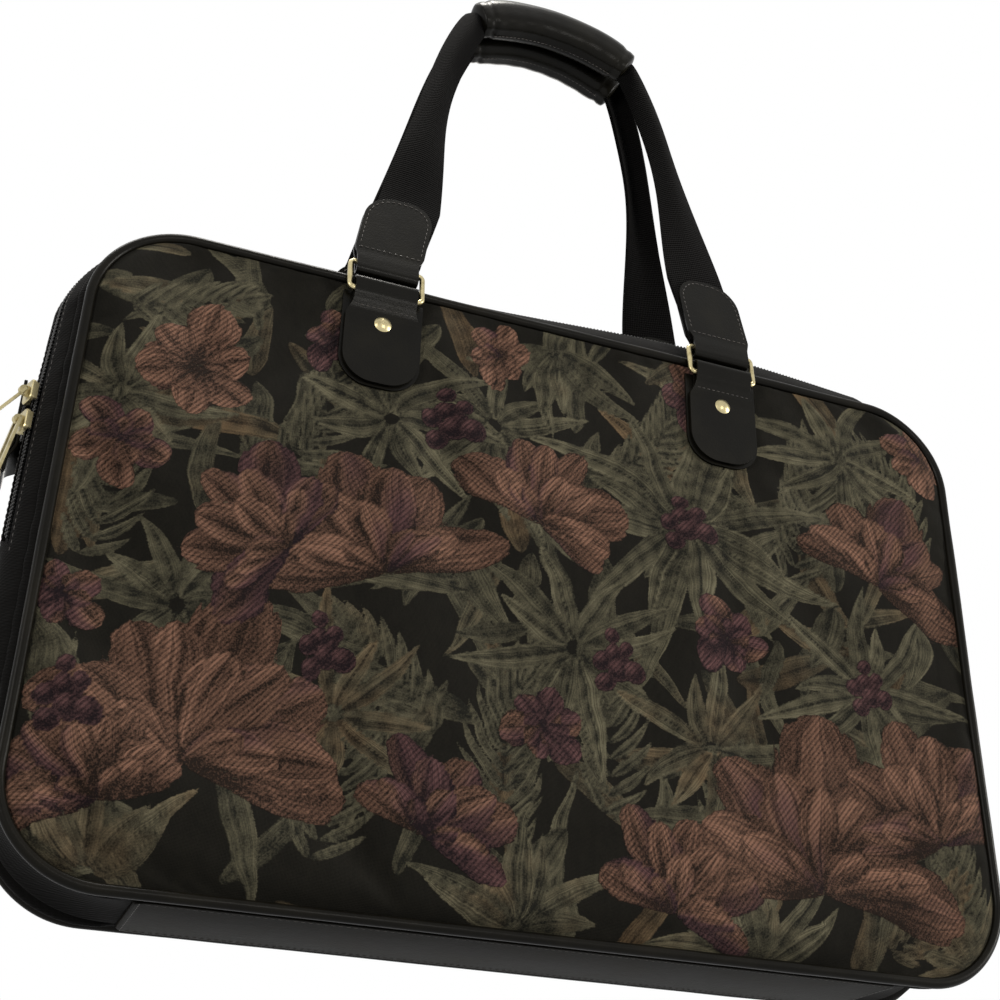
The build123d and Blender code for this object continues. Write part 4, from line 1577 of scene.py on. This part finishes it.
@dataclass
class Base:
    """The leatherette strip under the bag and the board above it."""
    finish: Finish
    board: Finish
    thread: Finish

    def bevel(self, obj: Piece, wanted: Callable[[Vector, Vector], bool], offset: float, segments: int) -> None:
        """Bevel the edges whose two ends pass a test."""
        with editing(obj):
            bpy.ops.mesh.select_mode(type="EDGE")
            bpy.ops.mesh.select_all(action="DESELECT")
        for edge in obj.data.edges:
            edge.select = wanted(*(obj.data.vertices[i].co for i in edge.vertices))
        bpy.ops.object.mode_set(mode="EDIT")
        bpy.ops.mesh.bevel(offset=offset, segments=segments, affect="EDGES")
        bpy.ops.object.mode_set(mode="OBJECT")

    def slab(self, name: str, size: tuple[float, float, float], low: float, corner: float, rim: float) -> Piece:
        """A flat slab with rounded corners and rim.

        Args:
            name: the piece's name.
            size: its length, depth and thickness.
            low: height of its underside.
            corner: radius of its upright corners.
            rim: radius round its underside.

        Returns:
            The finished slab.
        """
        bpy.ops.object.select_all(action="DESELECT")
        bpy.ops.mesh.primitive_cube_add(size=1)
        obj = rename(bpy.context.object, name)
        obj.data.transform(Matrix.Translation((0, 0, low + size[2] / 2)) @ Matrix.Diagonal((*size, 1)))
        self.bevel(obj, lambda start, end: abs(start.z - end.z) > size[2] / 2, corner, 8)
        self.bevel(obj, lambda start, end: max(start.z, end.z) < low + 1e-5, rim, 5)
        bevel_rims(obj, 0.12 * MM)
        smooth(obj, 50)
        return obj

    def build(self) -> None:
        """Model the strip, its seams and the board."""
        underside = self.slab("base_strip_leather", (380 * MM, 59.9 * MM, 2 * MM), 0, 6 * MM, 1.4 * MM)
        dress(underside, self.finish, ("base_strip",))
        board = self.slab("stiffening_board", (344 * MM, 55.9 * MM, 2.4 * MM), 3.6 * MM, 4 * MM, 0.3 * MM)
        dress(board, self.board, ("base_board",))
        x, y = np.arange(-184, 184.5, 3.4) * MM, np.arange(-26.4, 26.5, 3.3) * MM
        z, down = 0.02 * MM, (0, 0, -1)
        runs = [(in_plane(place * MM, z, y), (0, 1, 0), down) for place in (-187.5, 187.5)]
        runs += [(in_plane(x, z, place * MM), (1, 0, 0), down) for place in (-27.2, 27.2)]
        dress(stitch_rows("base_strip_stitching", runs, 2.4 * MM, 0.5 * MM), self.thread)


@dataclass
class Lining:
    """The lining, a bag of thin cloth open along the zip."""
    finish: Finish
    inset: float = 4.2 * MM
    edge: float = 30.3 * MM
    zip_gap: float = 7.2 * MM

    def band(self, turn: Array, y: Array) -> Array:
        """Points of the lining's band for turns and depths."""
        x, z, nx, nz = FORM.outline(turn, FORM.crest(y, self.edge) * FORM.fullness(turn))
        return in_plane(x - nx * self.inset, z - nz * self.inset, y)

    def build(self) -> None:
        """Model the band and the two faces."""
        left = FORM.zip_turn(FORM.zip_end)
        right, edge = 9 - left, self.edge
        runs = (
            (left, right, (-edge, FORM.zip_y - self.zip_gap), 240),
            (left, right, (FORM.zip_y + self.zip_gap, edge), 240),
            (0.0, left, (-edge, edge), 90),
            (right, 9.0, (-edge, edge), 90),
        )
        parts = []
        for start, end, edges, columns in runs:
            turns = FORM.even_turns(columns + 1, start, end, 0.8)
            parts.append(strip("lining_part", turns, edges, 10, self.band))
        for y in (-edge, edge):
            parts.append(shaped_grid("lining_part", 60, 40, lambda u, v: FORM.face(u, v, self.inset, y)))
        obj = walled(joined("cloth_lining", parts), 0.5 * MM, merge=0.0001)
        dress(obj, self.finish, ("lining",))


@dataclass
class Metalwork:
    """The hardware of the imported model, given its brass."""
    finish: Finish

    def build(self) -> None:
        """Put brass on every ring, D-ring, slider, pull and rivet."""
        words = ("ring", "slider", "pull", "rivets")
        for name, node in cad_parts.items():
            if node.type != "MESH" or not name.split("#")[0].endswith(words):
                continue
            if not node.material_slots:
                node.data.materials.append(self.finish)
            for slot in node.material_slots:
                slot.material = self.finish
            LOG.info("brass on %s", name)


@dataclass
class Studio:
    """Camera, lamps and white surroundings."""
    location: tuple = (-0.27456, -0.67963, -0.15213)
    right: tuple = (0.93116, -0.36384, 0.02359)
    up: tuple = (-0.19441, -0.44074, 0.87633)
    look: tuple = (0.30845, 0.82059, 0.48114)
    lens: float = 54
    fill: float = 0.11
    # Name, place, aim, size in metres and power in watts.
    lamps: tuple = (
        ("key_lamp", (2.3, -1.1, 0.5), (0, 0, 0.25), 0.8, 44),
        ("left_lamp", (-2.0, -1.4, 0.5), (0, 0, 0.25), 0.8, 20),
        ("high_lamp", (-0.05, -0.15, 1.6), (0, 0, 0.25), 0.3, 13),
        ("low_lamp", (0.3, -2.0, 0.28), (0, 0, 0.2), 0.45, 7),
        ("top_lamp", (-0.5, 0.15, 1.4), (0, 0, 0.25), 0.4, 4),
        ("back_lamp", (0.4, 1.3, 0.9), (0, 0, 0.25), 0.8, 6),
    )

    def add(self, name: str, data: bpy.types.ID) -> Piece:
        """Put a camera or a lamp in the scene, outside the object."""
        obj = bpy.data.objects.new(name, data)
        bpy.context.collection.objects.link(obj)
        return obj

    def lamp(self, name: str, place: tuple, aim: tuple, size: float, power: float) -> None:
        """Add one soft square lamp."""
        light = bpy.data.lights.new(name, "AREA")
        light.energy = power
        light.size = size
        light.color = (1.0, 0.965, 0.9)
        obj = self.add(name, light)
        obj.location = place
        obj.rotation_euler = (Vector(aim) - Vector(place)).to_track_quat("-Z", "Y").to_euler()

    def world(self) -> None:
        """White to the camera and in mirrors, and a softer white light on the object."""
        world = bpy.data.worlds.new("studio_white")
        world.use_nodes = True
        bpy.context.scene.world = world
        nodes, links = world.node_tree.nodes, world.node_tree.links
        nodes.clear()
        output = nodes.new("ShaderNodeOutputWorld")
        blend = nodes.new("ShaderNodeMixShader")
        path = nodes.new("ShaderNodeLightPath")
        for index, strength in ((1, self.fill), (2, 1.0)):
            background = nodes.new("ShaderNodeBackground")
            background.inputs[0].default_value = (1, 1, 1, 1)
            background.inputs[1].default_value = strength
            links.new(background.outputs[0], blend.inputs[index])
        seen = path.outputs["Is Camera Ray"]
        for ray in ("Is Glossy Ray", "Is Transmission Ray"):
            either = nodes.new("ShaderNodeMath")
            either.operation = "MAXIMUM"
            links.new(seen, either.inputs[0])
            links.new(path.outputs[ray], either.inputs[1])
            seen = either.outputs[0]
        links.new(seen, blend.inputs[0])
        links.new(blend.outputs[0], output.inputs[0])

    def build(self) -> None:
        """Set up the camera and the lamps."""
        camera = bpy.data.cameras.new("photo_camera")
        camera.lens = self.lens
        camera.sensor_width = 36
        obj = self.add("photo_camera", camera)
        axes = [Vector(v).normalized() for v in (self.right, self.up, self.look)]
        turn = Matrix((axes[0], axes[1], -axes[2])).transposed().to_4x4()
        obj.matrix_world = Matrix.Translation(self.location) @ turn
        bpy.context.scene.camera = obj
        bpy.context.scene.view_settings.view_transform = "Standard"
        self.world()
        for lamp in self.lamps:
            self.lamp(*lamp)


def main() -> None:
    """Build every piece, then the studio."""
    logging.basicConfig(level=logging.INFO, format="%(message)s")
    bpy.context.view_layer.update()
    leather = Leatherette().make()
    base_leather = Leatherette("base_leatherette", srgb(17, 16, 13), srgb(38, 35, 27), 0.35, 0.008).make()
    piping = Leatherette("piping_vinyl", srgb(17, 16, 13), srgb(36, 33, 26), 0.24, 0.08, 0.00008).make()
    thread, webbing = Thread().make(), Webbing().make()
    gusset = PlainCloth("gusset_cloth", srgb(10, 10, 10), srgb(24, 23, 22), specular=0.04).make()
    tape = PlainCloth("zip_tape_cloth", srgb(22, 22, 23), srgb(40, 40, 41), 0.4 * MM).make()
    lining = PlainCloth("lining_cloth", srgb(96, 84, 68), srgb(134, 120, 98), 0.4 * MM, 0.7).make()
    Panels(Tapestry().make()).build()
    Piping(piping).build()
    Gusset(gusset, thread).build()
    ZipParts(tape, COIL.make()).build()
    TabSet(leather, thread).build()
    for side in Side:
        Handle(side, leather, webbing, thread).build()
    Chape(leather, thread).build()
    Base(base_leather, BOARD.make(), thread).build()
    Lining(lining).build()
    Metalwork(Brass().make()).build()
    Studio().build()


if __name__ == "__main__":
    main()
